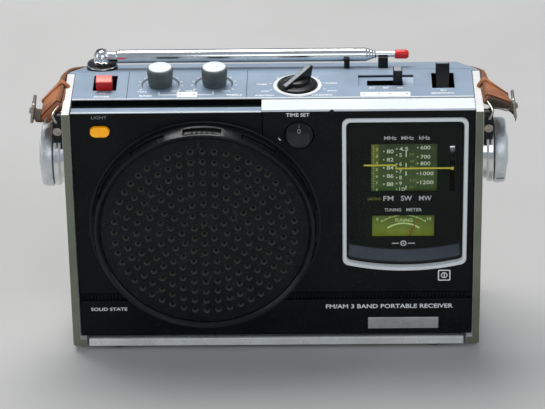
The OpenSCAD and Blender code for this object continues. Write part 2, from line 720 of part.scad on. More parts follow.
module strap_lugs() color(black) on_base() both_sides() difference() {
    union() {
        block([half_w, 3.4, 131.6], [half_w + 5.4, 12, 144]);
        rod_x([half_w, 7.7, 144], 8.6, 5.4);
        rod_y([half_w + 2.8, 2.6, 139], 4, 0.9);
    }
    block([half_w + 2, 0, 144.4], [half_w + 3.8, 20, 146]);
}

// The two halves of the strap, from a lug to the middle of the back: centre of the strap
// and the lean of its width, in degrees from level
strap_right = [
    [[126.6, 15, 150.6], 24], [[125.8, 22, 150.5], 25], [[125.4, 29, 149.8], 32],
    [[124.2, 38, 147.2], 50], [[122.4, 49, 143.4], 74], [[120.4, 60, 139], 88],
    [[116.6, 70, 136], 90], [[110, 79, 133], 90], [[100, 85.6, 131.4], 90],
    [[88, 88.6, 130.4], 90], [[72, 90, 129], 90], [[50, 90.6, 127], 90], [[26, 91, 125], 90],
    [[0, 91, 124], 90]];
strap_left = [
    [[125.2, 14, 147.2], 48], [[124.8, 22, 147.8], 44], [[124.6, 32, 147.4], 44],
    [[124, 42, 146], 54], [[122.8, 51, 143.6], 68], [[120.8, 60, 140.4], 82],
    [[117, 70, 137.6], 90], [[110, 79, 134.4], 90], [[100, 85.6, 132], 90],
    [[88, 88.6, 130], 90], [[72, 90, 128], 90], [[50, 90.6, 126], 90], [[26, 91, 124.6], 90],
    [[0, 91, 124], 90]];

function strap_side(s, path) = [for (p = path) [[s * p[0][0], p[0][1], p[0][2]], p[1], s]];
strap_line = concat(strap_side(1, strap_right),
    [for (i = [len(strap_left) - 2:-1:0]) strap_side(-1, strap_left)[i]]);

function lean_vec(q) = [q[2] * cos(q[1]), 0, -sin(q[1])];

function along(i) = let (a = strap_line[max(i - 1, 0)][0],
        b = strap_line[min(i + 1, len(strap_line) - 1)][0]) (b - a) / norm(b - a);

function strap_ring(i) = let (q = strap_line[i], t = along(i),
        w0 = lean_vec(q), w1 = w0 - t * (w0 * t), w = w1 / norm(w1), n = cross(t, w))
    [q[0] - w * strap_w / 2 - n * strap_t / 2, q[0] + w * strap_w / 2 - n * strap_t / 2,
     q[0] + w * strap_w / 2 + n * strap_t / 2, q[0] - w * strap_w / 2 + n * strap_t / 2];

module strap() color([0.72, 0.38, 0.2]) on_base() {
    count = len(strap_line);
    rings = [for (i = [0:count - 1]) each strap_ring(i)];
    sides = [for (i = [0:count - 2], j = [0:3])
        [4 * i + j, 4 * i + (j + 1) % 4, 4 * i + 4 + (j + 1) % 4, 4 * i + 4 + j]];
    polyhedron(rings, concat([[3, 2, 1, 0]], sides,
        [[for (j = [0:3]) 4 * (count - 1) + j]]));
}

// Square wire buckles standing beside the outer edges of the strap
module buckle(x, z) translate([x, 10, z]) rotate([0, buckle_tilt, 0]) difference() {
    block([-1.2, 0, -6], [1.2, 15, 6]);
    block([-3, 2.2, -3.8], [3, 12.8, 3.8]);
}

buckle_tilt = -8;

module strap_buckles() color([0.75, 0.73, 0.68]) on_base() {
    buckle(half_w + 17.6, 146.6);
    mirror([1, 0, 0]) buckle(half_w + 17, 146);
}

// ---------------------------------------------------------------- inside

drum_at = [74, 105];
board_y = 33;

module circuit_board() color([0.55, 0.4, 0.2]) on_base() difference() {
    union() {
        block([24, board_y, 50], [108, board_y + 1.6, 124.2]);
        for (p = [[30, 60], [42, 60], [30, 76], [42, 76], [30, 94], [98, 60]])
            block([p[0], board_y + 1.6 - eps, p[1]], [p[0] + 8, board_y + 10, p[1] + 10]);
        for (p = [[34, 112], [48, 112], [52, 66], [98, 80]]) rod_y([p[0], board_y + 1.5, p[1]], 8, 12);
    }
    rod_y([drum_at[0], 20, drum_at[1]], 10, 20);
}

module tuning_capacitor() color([0.8, 0.8, 0.75]) on_base() difference() {
    block([drum_at[0] - 14, board_y + 1.8, drum_at[1] - 14], [drum_at[0] + 14, 55, drum_at[1] + 14]);
    rod_y([drum_at[0], 20, drum_at[1]], 6 + 2 * fit, 24);
}

module drive_drum() color([0.9, 0.9, 0.85]) on_base()
    turn_y(drum_at[0], drum_at[1], [[0, 22], [9.5, 22], [9.5, 23], [8.3, 24], [9.5, 25],
        [9.5, 26], [3, 26], [3, 42], [0, 42]]);

module ferrite_rod() color([0.15, 0.15, 0.15]) on_base() {
    rod_x([-70, 66, 134], 9, 150);
    for (x = [-62, 46]) difference() {
        rod_x([x, 66, 134], 13, 26);
        rod_x([x - 1, 66, 134], 9, 28);
    }
}

module batteries() color([0.75, 0.6, 0.25]) on_base() for (i = [0:2]) {
    x = -92 + i * 61.5;
    rod_x([x, 58, 27], 34.2, 59.5);
    rod_x([x + 59.5 - eps, 58, 27], 9, 1.6);
}

chassis();
side_trim_left();
side_trim_right();
bottom_plate();
speaker_panel();
dial_panel();
chin_panel();
rib_strip();
top_panel();
top_strip();
rear_cover();
battery_door();
rubber_feet();
case_screws();
speaker_bezel();
speaker_grille();
speaker_basket();
speaker_cone();
speaker_magnet();
dial_frame();
dial_lens();
dial_well();
dial_mask();
scale_plate();
dial_pointer();
pointer_rail();
meter_housing();
meter_needle();
dial_lamp();
name_plate();
power_lever();
sensitivity_lever();
bass_knob();
treble_knob();
function_knob();
function_ring();
band_lever();
time_set_dial();
light_button();
tuning_knob();
volume_knob();
knob_collars();
control_pots();
lever_switches();
antenna_seat();
antenna_knuckle();
antenna_tube();
antenna_section_2();
antenna_section_3();
antenna_section_4();
antenna_rod();
antenna_cradles();
strap_lugs();
strap();
strap_buckles();
circuit_board();
tuning_capacitor();
drive_drum();
ferrite_rod();
batteries();
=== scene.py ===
"""Visual pieces of a three-band portable radio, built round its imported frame."""
import json
import math

import bmesh
import bpy
from bpy.props import FloatProperty, FloatVectorProperty, IntProperty, PointerProperty
from mathutils import Matrix, Vector


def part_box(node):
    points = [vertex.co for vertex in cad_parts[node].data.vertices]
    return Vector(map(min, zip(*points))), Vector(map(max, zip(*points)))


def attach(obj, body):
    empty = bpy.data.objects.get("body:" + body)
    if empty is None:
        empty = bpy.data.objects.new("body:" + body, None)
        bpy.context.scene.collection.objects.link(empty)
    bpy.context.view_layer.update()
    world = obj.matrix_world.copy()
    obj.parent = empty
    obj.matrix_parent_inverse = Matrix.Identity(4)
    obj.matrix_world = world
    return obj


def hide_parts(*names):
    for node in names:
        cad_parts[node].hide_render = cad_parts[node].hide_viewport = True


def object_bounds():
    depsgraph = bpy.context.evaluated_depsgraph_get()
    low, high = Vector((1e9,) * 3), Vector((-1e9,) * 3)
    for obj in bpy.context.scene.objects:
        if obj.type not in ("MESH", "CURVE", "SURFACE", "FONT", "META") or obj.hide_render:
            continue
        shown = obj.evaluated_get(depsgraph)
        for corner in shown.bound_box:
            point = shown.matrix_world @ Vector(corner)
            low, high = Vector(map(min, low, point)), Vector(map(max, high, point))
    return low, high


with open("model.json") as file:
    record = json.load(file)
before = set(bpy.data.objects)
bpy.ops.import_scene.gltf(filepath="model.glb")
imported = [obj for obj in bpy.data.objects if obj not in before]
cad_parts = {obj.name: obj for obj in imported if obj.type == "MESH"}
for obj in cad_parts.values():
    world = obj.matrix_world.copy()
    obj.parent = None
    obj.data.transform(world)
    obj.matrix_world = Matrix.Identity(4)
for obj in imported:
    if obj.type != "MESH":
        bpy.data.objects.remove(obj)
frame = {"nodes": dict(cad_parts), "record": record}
CAD_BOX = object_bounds()

bl_info = {
    "name": "Portable radio",
    "version": (1, 0, 0),
    "blender": (4, 5, 0),
    "location": "View3D > Sidebar > Radio",
    "description": "Builds the cabinet, dial, controls, antenna and strap of a portable radio",
    "category": "Add Mesh",
}

MM = 0.001
TRIM_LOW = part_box("side_trim_left")[0]
# Cabinet coordinates are millimetres: x from the middle, y from the front edge of the
# side trims to the rear, z up from their foot.
ORIGIN = Vector((0, TRIM_LOW.y, TRIM_LOW.z))
TO_ROW = Matrix.Translation(ORIGIN) @ Matrix.Scale(MM, 4)
TO_CABINET = TO_ROW.inverted()
MATERIALS, TREES = {}, {}
SLOTS = {part["node"]: part["material_slot"] for part in frame["record"]["subparts"]}
BODIES = {node: body for body, nodes in frame["record"]["behaviour"]["bodies"].items()
          for node in nodes}


def corners(node):
    """Lowest and highest corner of a frame node, in cabinet millimetres."""
    low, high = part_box(node)
    return TO_CABINET @ low, TO_CABINET @ high


def middle(node):
    low, high = corners(node)
    return (low + high) / 2


# ---------- mesh helpers


def place(name, mesh, materials, body=None, slot=None, stands_for=()):
    """Object for a finished mesh, riding on a body of the frame.

    A piece that stands for a node takes that node's body.
    """
    nodes = [stands_for] if isinstance(stands_for, str) else list(stands_for)
    body = body or (BODIES[nodes[0]] if nodes else "root")
    slot = slot or (SLOTS[nodes[0]] if nodes else None)
    piece = bpy.data.objects.new(name, mesh)
    bpy.context.scene.collection.objects.link(piece)
    if materials is not None:
        for material in [materials] if isinstance(materials, str) else materials:
            mesh.materials.append(MATERIALS[material])
    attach(piece, body)
    if nodes:
        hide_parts(*nodes)
    return piece


def close(bm, name, materials, body=None, slot=None, stands_for=(), sharp=35, outward=True):
    """Turn a mesh in cabinet millimetres into a placed piece."""
    if outward:
        bmesh.ops.recalc_face_normals(bm, faces=bm.faces)
    bm.transform(TO_ROW)
    for face in bm.faces:
        face.smooth = True
    mesh = bpy.data.meshes.new(name)
    bm.to_mesh(mesh)
    bm.free()
    mesh.set_sharp_from_angle(angle=math.radians(sharp))
    return place(name, mesh, materials, body, slot, stands_for)


def merged_copy(node):
    """A node's mesh in cabinet millimetres, with its triangles joined into flat faces."""
    bm = bmesh.new()
    bm.from_mesh(frame["nodes"][node].data)
    bm.transform(TO_CABINET)
    bmesh.ops.remove_doubles(bm, verts=bm.verts, dist=0.002)
    bmesh.ops.dissolve_degenerate(bm, edges=bm.edges, dist=0.001)
    bmesh.ops.dissolve_limit(bm, angle_limit=math.radians(0.4), verts=bm.verts, edges=bm.edges)
    for face in bm.faces:
        face.material_index = 0
    return bm


def softened(node, name, material, width=0.35, segments=2, angle=40, edit=None):
    """Copy of a frame node with its edges rounded."""
    bm = merged_copy(node)
    if edit:
        edit(bm)
    piece = close(bm, name, material, stands_for=node, outward=False)
    bevel = piece.modifiers.new("Rounded edges", "BEVEL")
    bevel.width = width * MM
    bevel.segments = segments
    bevel.limit_method = "ANGLE"
    bevel.angle_limit = math.radians(angle)
    bevel.harden_normals = True
    return piece


def lathe(bm, profile, centre, axis, steps=96, material=0):
    """Turn [radius, height] points round an axis through a centre."""
    first = len(bm.faces)
    rings = []
    for radius, height in profile:
        if radius < 1e-6:
            rings.append([bm.verts.new(spun(0, 0, height, centre, axis))])
            continue
        rings.append([bm.verts.new(spun(radius, 2 * math.pi * k / steps, height, centre, axis))
                      for k in range(steps)])
    closed = profile[0][0] > 1e-6 and profile[-1][0] > 1e-6
    pairs = list(zip(rings, rings[1:])) + ([(rings[-1], rings[0])] if closed else [])
    for low, high in pairs:
        for k in range(steps):
            n = (k + 1) % steps
            quad = [low[k % len(low)], low[n % len(low)], high[n % len(high)], high[k % len(high)]]
            unique = list(dict.fromkeys(quad))
            if len(unique) > 2:
                bm.faces.new(unique)
    bm.faces.ensure_lookup_table()
    for face in bm.faces[first:]:
        face.material_index = material


def spun(radius, angle, height, centre, axis):
    a, b = radius * math.cos(angle), radius * math.sin(angle)
    c = Vector(centre)
    if axis == "x":
        return (height, c.y + a, c.z + b)
    if axis == "y":
        return (c.x + a, height, c.z + b)
    return (c.x + a, c.y + b, height)


def prism(bm, outline, low, high, axis):
    """Raise an outline along an axis."""
    def point(p, h):
        return {"x": (h, p[0], p[1]), "y": (p[0], h, p[1]), "z": (p[0], p[1], h)}[axis]
    near = [bm.verts.new(point(p, low)) for p in outline]
    far = [bm.verts.new(point(p, high)) for p in outline]
    bm.faces.new(near)
    bm.faces.new(list(reversed(far)))
    for k in range(len(outline)):
        n = (k + 1) % len(outline)
        bm.faces.new([near[k], far[k], far[n], near[n]])


def soften(bm, width, segments=2, angle=35):
    """Round every edge of the mesh that turns by more than an angle."""
    bmesh.ops.recalc_face_normals(bm, faces=bm.faces)
    limit = math.radians(angle)
    edges = [e for e in bm.edges if len(e.link_faces) == 2 and e.calc_face_angle(0) > limit]
    bmesh.ops.bevel(bm, geom=edges, offset=width, segments=segments, profile=0.5,
                    affect="EDGES", clamp_overlap=True)


def box(bm, low, high):
    prism(bm, [(low[0], low[1]), (high[0], low[1]), (high[0], high[1]), (low[0], high[1])],
          low[2], high[2], "z")


def stem(bm, x, y, base):
    """Shaft of a knob on the top cover."""
    foot = base - 12.5
    lathe(bm, [(0, foot), (3.0, foot), (3.0, base + 0.3), (0, base + 0.3)], (x, y, 0), "z", 24)


def dot(bm, a, b, radius, low, high, axis):
    prism(bm, arc_points(a, b, radius, 0, 330, 11), low, high, axis)


def arc_points(cx, cz, radius, start, end, count):
    return [(cx + radius * math.cos(math.radians(start + (end - start) * k / count)),
             cz + radius * math.sin(math.radians(start + (end - start) * k / count)))
            for k in range(count + 1)]


def rounded(x0, z0, x1, z1, radius, count=6):
    return (arc_points(x1 - radius, z1 - radius, radius, 0, 90, count)
            + arc_points(x0 + radius, z1 - radius, radius, 90, 180, count)
            + arc_points(x0 + radius, z0 + radius, radius, 180, 270, count)
            + arc_points(x1 - radius, z0 + radius, radius, 270, 360, count))


def half_round(half, foot, spring, rise, steps):
    """Outline of a rib: a flat foot, and half an ellipse that springs from a level."""
    turns = [math.pi - math.pi * k / steps for k in range(steps + 1)]
    return ([(-half, foot)] + [(half * math.cos(a), spring + rise * math.sin(a)) for a in turns]
            + [(half, foot)])


def tube(bm, points, radius, sides=12, closed=False):
    """Round wire along a path of points."""
    points = [Vector(p) for p in points]
    count = len(points)
    rings, side = [], None
    for k, p in enumerate(points):
        before = points[(k - 1) % count] if closed or k else p
        after = points[(k + 1) % count] if closed or k < count - 1 else p
        ahead = (after - before).normalized()
        if side is None:
            side = ahead.orthogonal().normalized()
        side = (side - ahead * side.dot(ahead)).normalized()
        up = ahead.cross(side)
        reach = radius[k] if isinstance(radius, (list, tuple)) else radius
        rings.append([bm.verts.new(p + (side * math.cos(a) + up * math.sin(a)) * reach)
                      for a in (2 * math.pi * s / sides for s in range(sides))])
    for k in range(count if closed else count - 1):
        a, b = rings[k], rings[(k + 1) % count]
        for s in range(sides):
            n = (s + 1) % sides
            bm.faces.new([a[s], a[n], b[n], b[s]])
    if not closed:
        bm.faces.new(list(reversed(rings[0])))
        bm.faces.new(rings[-1])


def lettering(name, words, plane, level, material, body=None, slot=None, bold=0.008,
              extra=None):
    """Raised printed words; each is (text, left, bottom, right, top) on a plane.

    The plane is "front" (x and z at depth y) or "top" (x and y at height z).
    """
    bm = bmesh.new()
    for text, left, bottom, right, top in words:
        curve = bpy.data.curves.new(name, "FONT")
        curve.body = text
        curve.resolution_u = 3
        curve.extrude = sizes().print_height / MM / 2
        curve.offset = bold
        holder = bpy.data.objects.new(name, curve)
        bpy.context.scene.collection.objects.link(holder)
        bpy.context.view_layer.update()
        mesh = bpy.data.meshes.new_from_object(holder)
        xs = [v.co.x for v in mesh.vertices]
        ys = [v.co.y for v in mesh.vertices]
        sx = (right - left) / max(max(xs) - min(xs), 1e-6)
        sy = (top - bottom) / max(max(ys) - min(ys), 1e-6)
        for v in mesh.vertices:
            a = left + (v.co.x - min(xs)) * sx
            b = bottom + (v.co.y - min(ys)) * sy
            v.co = (a, level - v.co.z, b) if plane == "front" else (a, b, level + v.co.z)
        bm.from_mesh(mesh)
        bpy.data.objects.remove(holder)
        bpy.data.curves.remove(curve)
        bpy.data.meshes.remove(mesh)
    if extra:
        extra(bm)
    bmesh.ops.remove_doubles(bm, verts=bm.verts, dist=0.0005)
    return close(bm, name, material, body, slot)


def stroke(bm, points, width, plane, level):
    """Flat printed line of a given width along a path on a plane."""
    points = [Vector((*p, 0)) for p in points]
    near, far = [], []
    for k, p in enumerate(points):
        ahead = (points[min(k + 1, len(points) - 1)] - points[max(k - 1, 0)]).normalized()
        side = Vector((-ahead.y, ahead.x, 0)) * width / 2
        near.append(p - side)
        far.append(p + side)
    outline = [(p.x, p.y) for p in near + list(reversed(far))]
    half = sizes().print_height / MM / 2
    prism(bm, outline, level - half, level + half, "y" if plane == "front" else "z")


def turned_copy(bm, make, matrix):
    """Add a shape made by a function, moved by a matrix."""
    part = bmesh.new()
    make(part)
    part.transform(matrix)
    mesh = bpy.data.meshes.new("part")
    part.to_mesh(mesh)
    part.free()
    bm.from_mesh(mesh)
    bpy.data.meshes.remove(mesh)


# ---------- node helpers


class Net:
    """Adds nodes to a tree and joins them."""

    def __init__(self, tree):
        self.tree = tree

    def add(self, kind, inputs=None, **settings):
        node = self.tree.nodes.new(kind)
        for key, value in settings.items():
            setattr(node, key, value)
        for key, value in (inputs or {}).items():
            self.feed(node.inputs[key], value)
        return node

    def feed(self, socket, value):
        if isinstance(value, bpy.types.Node):
            value = value.outputs[0]
        if isinstance(value, bpy.types.NodeSocket):
            self.tree.links.new(value, socket)
        else:
            socket.default_value = value

    def math(self, operation, first, second=0.0, third=None):
        node = self.add("ShaderNodeMath", {0: first, 1: second}, operation=operation)
        if third is not None:
            self.feed(node.inputs[2], third)
        return node.outputs[0]

    def blend(self, factor, first, second):
        """Mix two colours."""
        node = self.add("ShaderNodeMix", {0: factor, 6: first, 7: second}, data_type="RGBA")
        return node.outputs[2]

    def noise(self, where, scale, detail=4.0, rough=0.55, distortion=0.0):
        return self.add("ShaderNodeTexNoise", {"Vector": where, "Scale": scale, "Detail": detail,
                                               "Roughness": rough, "Distortion": distortion}
                        ).outputs["Fac"]

    def between(self, value, low, high, to_low=0.0, to_high=1.0, smooth=False):
        """Map a value from one range to another, held inside it."""
        node = self.add("ShaderNodeMapRange", {"Value": value, "From Min": low, "From Max": high,
                                               "To Min": to_low, "To Max": to_high})
        node.interpolation_type = "SMOOTHSTEP" if smooth else "LINEAR"
        return node.outputs["Result"]

    def where(self, stretch=None):
        """Object coordinates in metres, stretched if need be."""
        spot = self.add("ShaderNodeTexCoord").outputs["Object"]
        if stretch is None:
            return spot
        return self.add("ShaderNodeMapping", {"Vector": spot, "Scale": stretch}).outputs[0]


def rgba(colour):
    return (*colour[:3], 1.0)


def surface(name, colour, second=None, patch=45.0, rough=0.4, spread=0.08, metal=0.0,
            grain=0.0, grain_scale=1800.0, brushed=None, wave=0.0, wave_scale=120.0,
            dust=0.0, dust_colour=(0.45, 0.44, 0.42), wear=0.0, wear_colour=None, **shader):
    """Procedural finish: two mixed tones, uneven gloss, grain or brushing, and dust."""
    material = bpy.data.materials.new(name)
    material.use_nodes = True
    net = Net(material.node_tree)
    bsdf = material.node_tree.nodes["Principled BSDF"]
    where = net.where()
    tone = net.noise(where, patch, 5.0)
    base = net.blend(net.between(tone, 0.35, 0.65, smooth=True), rgba(colour),
                     rgba(second or [c * 0.8 for c in colour]))
    fine = net.noise(net.where(brushed) if brushed else where, grain_scale, 3.0, 0.6)
    if wear:
        mark = net.noise(where, 260.0, 6.0, 0.7, 0.6)
        base = net.blend(net.math("MULTIPLY", net.between(mark, 0.6, 0.72), wear), base,
                         rgba(wear_colour or dust_colour))
    if dust:
        speck = net.noise(where, 1100.0, 2.0, 0.5)
        drift = net.noise(where, 60.0, 3.0, 0.6)
        amount = net.math("MULTIPLY", net.between(speck, 0.6, 0.74), net.between(drift, 0.35, 0.7))
        base = net.blend(net.math("MULTIPLY", amount, dust), base, rgba(dust_colour))
    net.feed(bsdf.inputs["Base Color"], base)
    smudge = net.noise(where, 85.0, 4.0, 0.6)
    uneven = net.math("ADD", net.math("MULTIPLY", smudge, 0.6), net.math("MULTIPLY", fine, 0.4))
    net.feed(bsdf.inputs["Roughness"],
             net.between(uneven, 0.3, 0.7, max(rough - spread, 0.02), rough + spread))
    bsdf.inputs["Metallic"].default_value = metal
    for key, value in shader.items():
        bsdf.inputs[key.replace("_", " ").title().replace("Ior", "IOR")].default_value = value
    height = None
    if grain:
        height = net.add("ShaderNodeBump", {"Strength": grain, "Distance": 0.00012,
                                            "Height": fine}).outputs[0]
    if wave:
        swell = net.noise(where, wave_scale, 2.0, 0.5)
        inputs = {"Strength": wave, "Distance": 0.0005, "Height": swell}
        if height:
            inputs["Normal"] = height
        height = net.add("ShaderNodeBump", inputs).outputs[0]
    if height:
        net.feed(bsdf.inputs["Normal"], height)
    MATERIALS[name] = material
    return net, bsdf


def new_tree(name, sockets):
    """Geometry tree with a Shape input, named inputs and a Finish material input."""
    tree = bpy.data.node_groups.new(name, "GeometryNodeTree")
    tree.interface.new_socket(name="Shape", in_out="INPUT", socket_type="NodeSocketGeometry")
    for label, kind, value in sockets:
        item = tree.interface.new_socket(name=label, in_out="INPUT",
                                         socket_type="NodeSocket" + kind)
        item.default_value = value
    tree.interface.new_socket(name="Finish", in_out="INPUT", socket_type="NodeSocketMaterial")
    tree.interface.new_socket(name="Shape", in_out="OUTPUT", socket_type="NodeSocketGeometry")
    return Net(tree), tree.nodes.new("NodeGroupInput")


def end_tree(net, given, result):
    real = net.add("GeometryNodeRealizeInstances", {0: result})
    finish = net.add("GeometryNodeSetMaterial", {"Geometry": real,
                                                 "Material": given.outputs["Finish"]})
    net.add("NodeGroupOutput", {0: finish})
    return net.tree


def row_tree():
    """Copies of a shape in a straight row."""
    net, given = new_tree("Row of copies", [
        ("Count", "Int", 10), ("Start", "Vector", (0, 0, 0)), ("Step", "Vector", (0, 0, 0))])
    line = net.add("GeometryNodeMeshLine", {
        "Count": given.outputs["Count"], "Start Location": given.outputs["Start"],
        "Offset": given.outputs["Step"]}, mode="OFFSET")
    copies = net.add("GeometryNodeInstanceOnPoints", {
        "Points": line, "Instance": given.outputs["Shape"]})
    return end_tree(net, given, copies)


def ring_tree():
    """Copies of a shape round an axis, each turned to face outwards."""
    net, given = new_tree("Ring of copies", [
        ("Count", "Int", 10), ("Radius", "Float", 0.01), ("First angle", "Float", 0.0),
        ("Step angle", "Float", 0.1), ("Centre", "Vector", (0, 0, 0))])
    line = net.add("GeometryNodeMeshLine", {"Count": given.outputs["Count"],
                                            "Offset": (0, 0, 0)}, mode="OFFSET")
    index = net.add("GeometryNodeInputIndex").outputs[0]
    angle = net.math("MULTIPLY_ADD", index, given.outputs["Step angle"],
                     given.outputs["First angle"])
    spot = net.add("ShaderNodeCombineXYZ", {
        0: net.math("MULTIPLY", net.math("COSINE", angle), given.outputs["Radius"]),
        1: net.math("MULTIPLY", net.math("SINE", angle), given.outputs["Radius"])})
    moved = net.add("GeometryNodeSetPosition", {"Geometry": line, "Position": spot})
    facing = net.add("ShaderNodeCombineXYZ", {2: angle})
    copies = net.add("GeometryNodeInstanceOnPoints", {
        "Points": moved, "Instance": given.outputs["Shape"], "Rotation": facing})
    real = net.add("GeometryNodeRealizeInstances", {0: copies})
    whole = net.add("GeometryNodeTransform", {
        "Geometry": real, "Translation": given.outputs["Centre"]})
    return end_tree(net, given, whole)


def perforation_tree(rings):
    """Copies of a hole's funnel in rings of 6, 12, 18 ... over a shallow dome."""
    net, given = new_tree("Perforation funnels", [
        ("Pitch", "Float", 0.006), ("Inner slope", "Float", 0.02), ("Outer slope", "Float", 0.07),
        ("Slope change", "Float", 0.03), ("Centre", "Vector", (0, 0, 0)),
        ("Turn", "Vector", (0, 0, 0))])
    join = net.add("GeometryNodeJoinGeometry")
    hub = net.add("GeometryNodeMeshLine", {"Count": 1}, mode="OFFSET")
    net.tree.links.new(hub.outputs[0], join.inputs[0])
    for ring in range(1, rings + 1):
        circle = net.add("GeometryNodeMeshCircle", {
            "Vertices": 6 * ring, "Radius": net.math("MULTIPLY", given.outputs["Pitch"], ring)})
        net.tree.links.new(circle.outputs[0], join.inputs[0])
    spot = net.add("GeometryNodeInputPosition").outputs[0]
    reach = net.add("ShaderNodeVectorMath", {0: spot}, operation="LENGTH").outputs["Value"]
    past = net.math("MAXIMUM", net.math("SUBTRACT", reach, given.outputs["Slope change"]), 0.0)
    extra = net.math("SUBTRACT", given.outputs["Outer slope"], given.outputs["Inner slope"])
    drop = net.math("MULTIPLY_ADD", past, extra,
                    net.math("MULTIPLY", reach, given.outputs["Inner slope"]))
    parts = net.add("ShaderNodeSeparateXYZ", {0: spot})
    lowered = net.add("ShaderNodeCombineXYZ", {
        0: parts.outputs[0], 1: parts.outputs[1], 2: net.math("MULTIPLY", drop, -1.0)})
    dome = net.add("GeometryNodeSetPosition", {"Geometry": join, "Position": lowered})
    copies = net.add("GeometryNodeInstanceOnPoints", {
        "Points": dome, "Instance": given.outputs["Shape"]})
    real = net.add("GeometryNodeRealizeInstances", {0: copies})
    whole = net.add("GeometryNodeTransform", {
        "Geometry": real, "Translation": given.outputs["Centre"],
        "Rotation": given.outputs["Turn"]})
    return end_tree(net, given, whole)


def stitch_tree():
    """Thread stitches along a path of edges."""
    net, given = new_tree("Stitches", [
        ("Pitch", "Float", 0.003), ("Length", "Float", 0.002), ("Thread", "Float", 0.0003)])
    curve = net.add("GeometryNodeMeshToCurve", {"Mesh": given.outputs["Shape"]})
    even = net.add("GeometryNodeResampleCurve", {
        "Curve": curve, "Length": given.outputs["Pitch"]}, mode="LENGTH")
    ball = net.add("GeometryNodeMeshUVSphere", {"Segments": 8, "Rings": 5, "Radius": 1.0})
    along = net.math("MULTIPLY", given.outputs["Length"], 0.5)
    size = net.add("ShaderNodeCombineXYZ", {0: given.outputs["Thread"],
                                            1: given.outputs["Thread"], 2: along})
    thread = net.add("GeometryNodeTransform", {"Geometry": ball.outputs[0], "Scale": size})
    tangent = net.add("GeometryNodeInputTangent").outputs[0]
    facing = net.add("FunctionNodeAlignRotationToVector", {"Vector": tangent}, axis="Z")
    copies = net.add("GeometryNodeInstanceOnPoints", {
        "Points": even, "Instance": thread, "Rotation": facing})
    return end_tree(net, given, copies)


def grown(bm, name, tree, values, material, body=None, slot=None, stands_for=(),
          in_row=False):
    """Run a geometry tree on a mesh, and keep the result.

    The mesh is in cabinet millimetres if in_row, else in millimetres about its own origin.
    """
    if bm.faces:
        bmesh.ops.recalc_face_normals(bm, faces=bm.faces)
    bm.transform(TO_ROW if in_row else Matrix.Scale(MM, 4))
    for face in bm.faces:
        face.smooth = True
    mesh = bpy.data.meshes.new(name)
    bm.to_mesh(mesh)
    bm.free()
    if mesh.polygons:
        mesh.set_sharp_from_angle(angle=math.radians(35))
    source = bpy.data.objects.new(name + "_source", mesh)
    bpy.context.scene.collection.objects.link(source)
    modifier = source.modifiers.new("Tree", "NODES")
    modifier.node_group = tree
    names = {item.name: item.identifier for item in tree.interface.items_tree
             if item.in_out == "INPUT"}
    for label, value in {**values, "Finish": MATERIALS[material]}.items():
        modifier[names[label]] = value
    source.update_tag()
    bpy.context.view_layer.update()
    result = bpy.data.meshes.new_from_object(
        source.evaluated_get(bpy.context.evaluated_depsgraph_get()))
    if not result.polygons:
        raise RuntimeError(f"the tree of {name} made nothing")
    bpy.data.objects.remove(source)
    bpy.data.meshes.remove(mesh)
    return place(name, result, None, body, slot, stands_for)


def ring_of(bm, name, centre, radius, count, first, step, material, **more):
    """Copies of a shape round an upright axis; the shape's own x points away from it."""
    values = {"Count": count, "Radius": radius * MM, "First angle": math.radians(first),
              "Step angle": math.radians(step), "Centre": TO_ROW @ Vector(centre)}
    return grown(bm, name, TREES["ring"], values, material, **more)


# ---------- sizes and colours


class RadioSizes(bpy.types.PropertyGroup):
    """Sizes a maker would change."""
    edge: FloatProperty(name="Panel edge", description="Rounding of the cabinet's edges",
                        default=0.00045, unit="LENGTH")
    funnel_depth: FloatProperty(name="Funnel depth", description="Depth of a grille hole's funnel",
                                default=0.0014, unit="LENGTH")
    print_height: FloatProperty(name="Print height", description="Thickness of the raised print",
                                default=0.00006, unit="LENGTH")
    stitch_pitch: FloatProperty(name="Stitch pitch", description="Distance between strap stitches",
                                default=0.0032, unit="LENGTH")
    hole_rings: IntProperty(name="Hole rings", description="Rings of holes round the middle one",
                            default=8, min=1)
    key_light: FloatProperty(name="Key light", description="Power of the overhead light",
                             default=30.0, unit="POWER")


class RadioColours(bpy.types.PropertyGroup):
    """Colours a maker would change."""
    cabinet: FloatVectorProperty(name="Cabinet", description="Moulded black of the front",
                                 default=(0.0035, 0.0052, 0.006), subtype="COLOR")
    panel: FloatVectorProperty(name="Top panel", description="Blue-grey paint of the top",
                               default=(0.29, 0.37, 0.47), subtype="COLOR")
    trim: FloatVectorProperty(name="Trim", description="Satin metal of the side trims",
                              default=(0.96, 0.96, 0.93), subtype="COLOR")
    leather: FloatVectorProperty(name="Leather", description="Tan of the strap",
                                 default=(0.50, 0.175, 0.06), subtype="COLOR")
    scale: FloatVectorProperty(name="Dial green", description="Green of the dial scale",
                               default=(0.026, 0.050, 0.011), subtype="COLOR")
    amber: FloatVectorProperty(name="Light button", description="Amber of the light button",
                               default=(1.0, 0.42, 0.004), subtype="COLOR")


def sizes():
    return bpy.context.scene.radio_sizes


def colours():
    return bpy.context.scene.radio_colours


# ---------- finishes


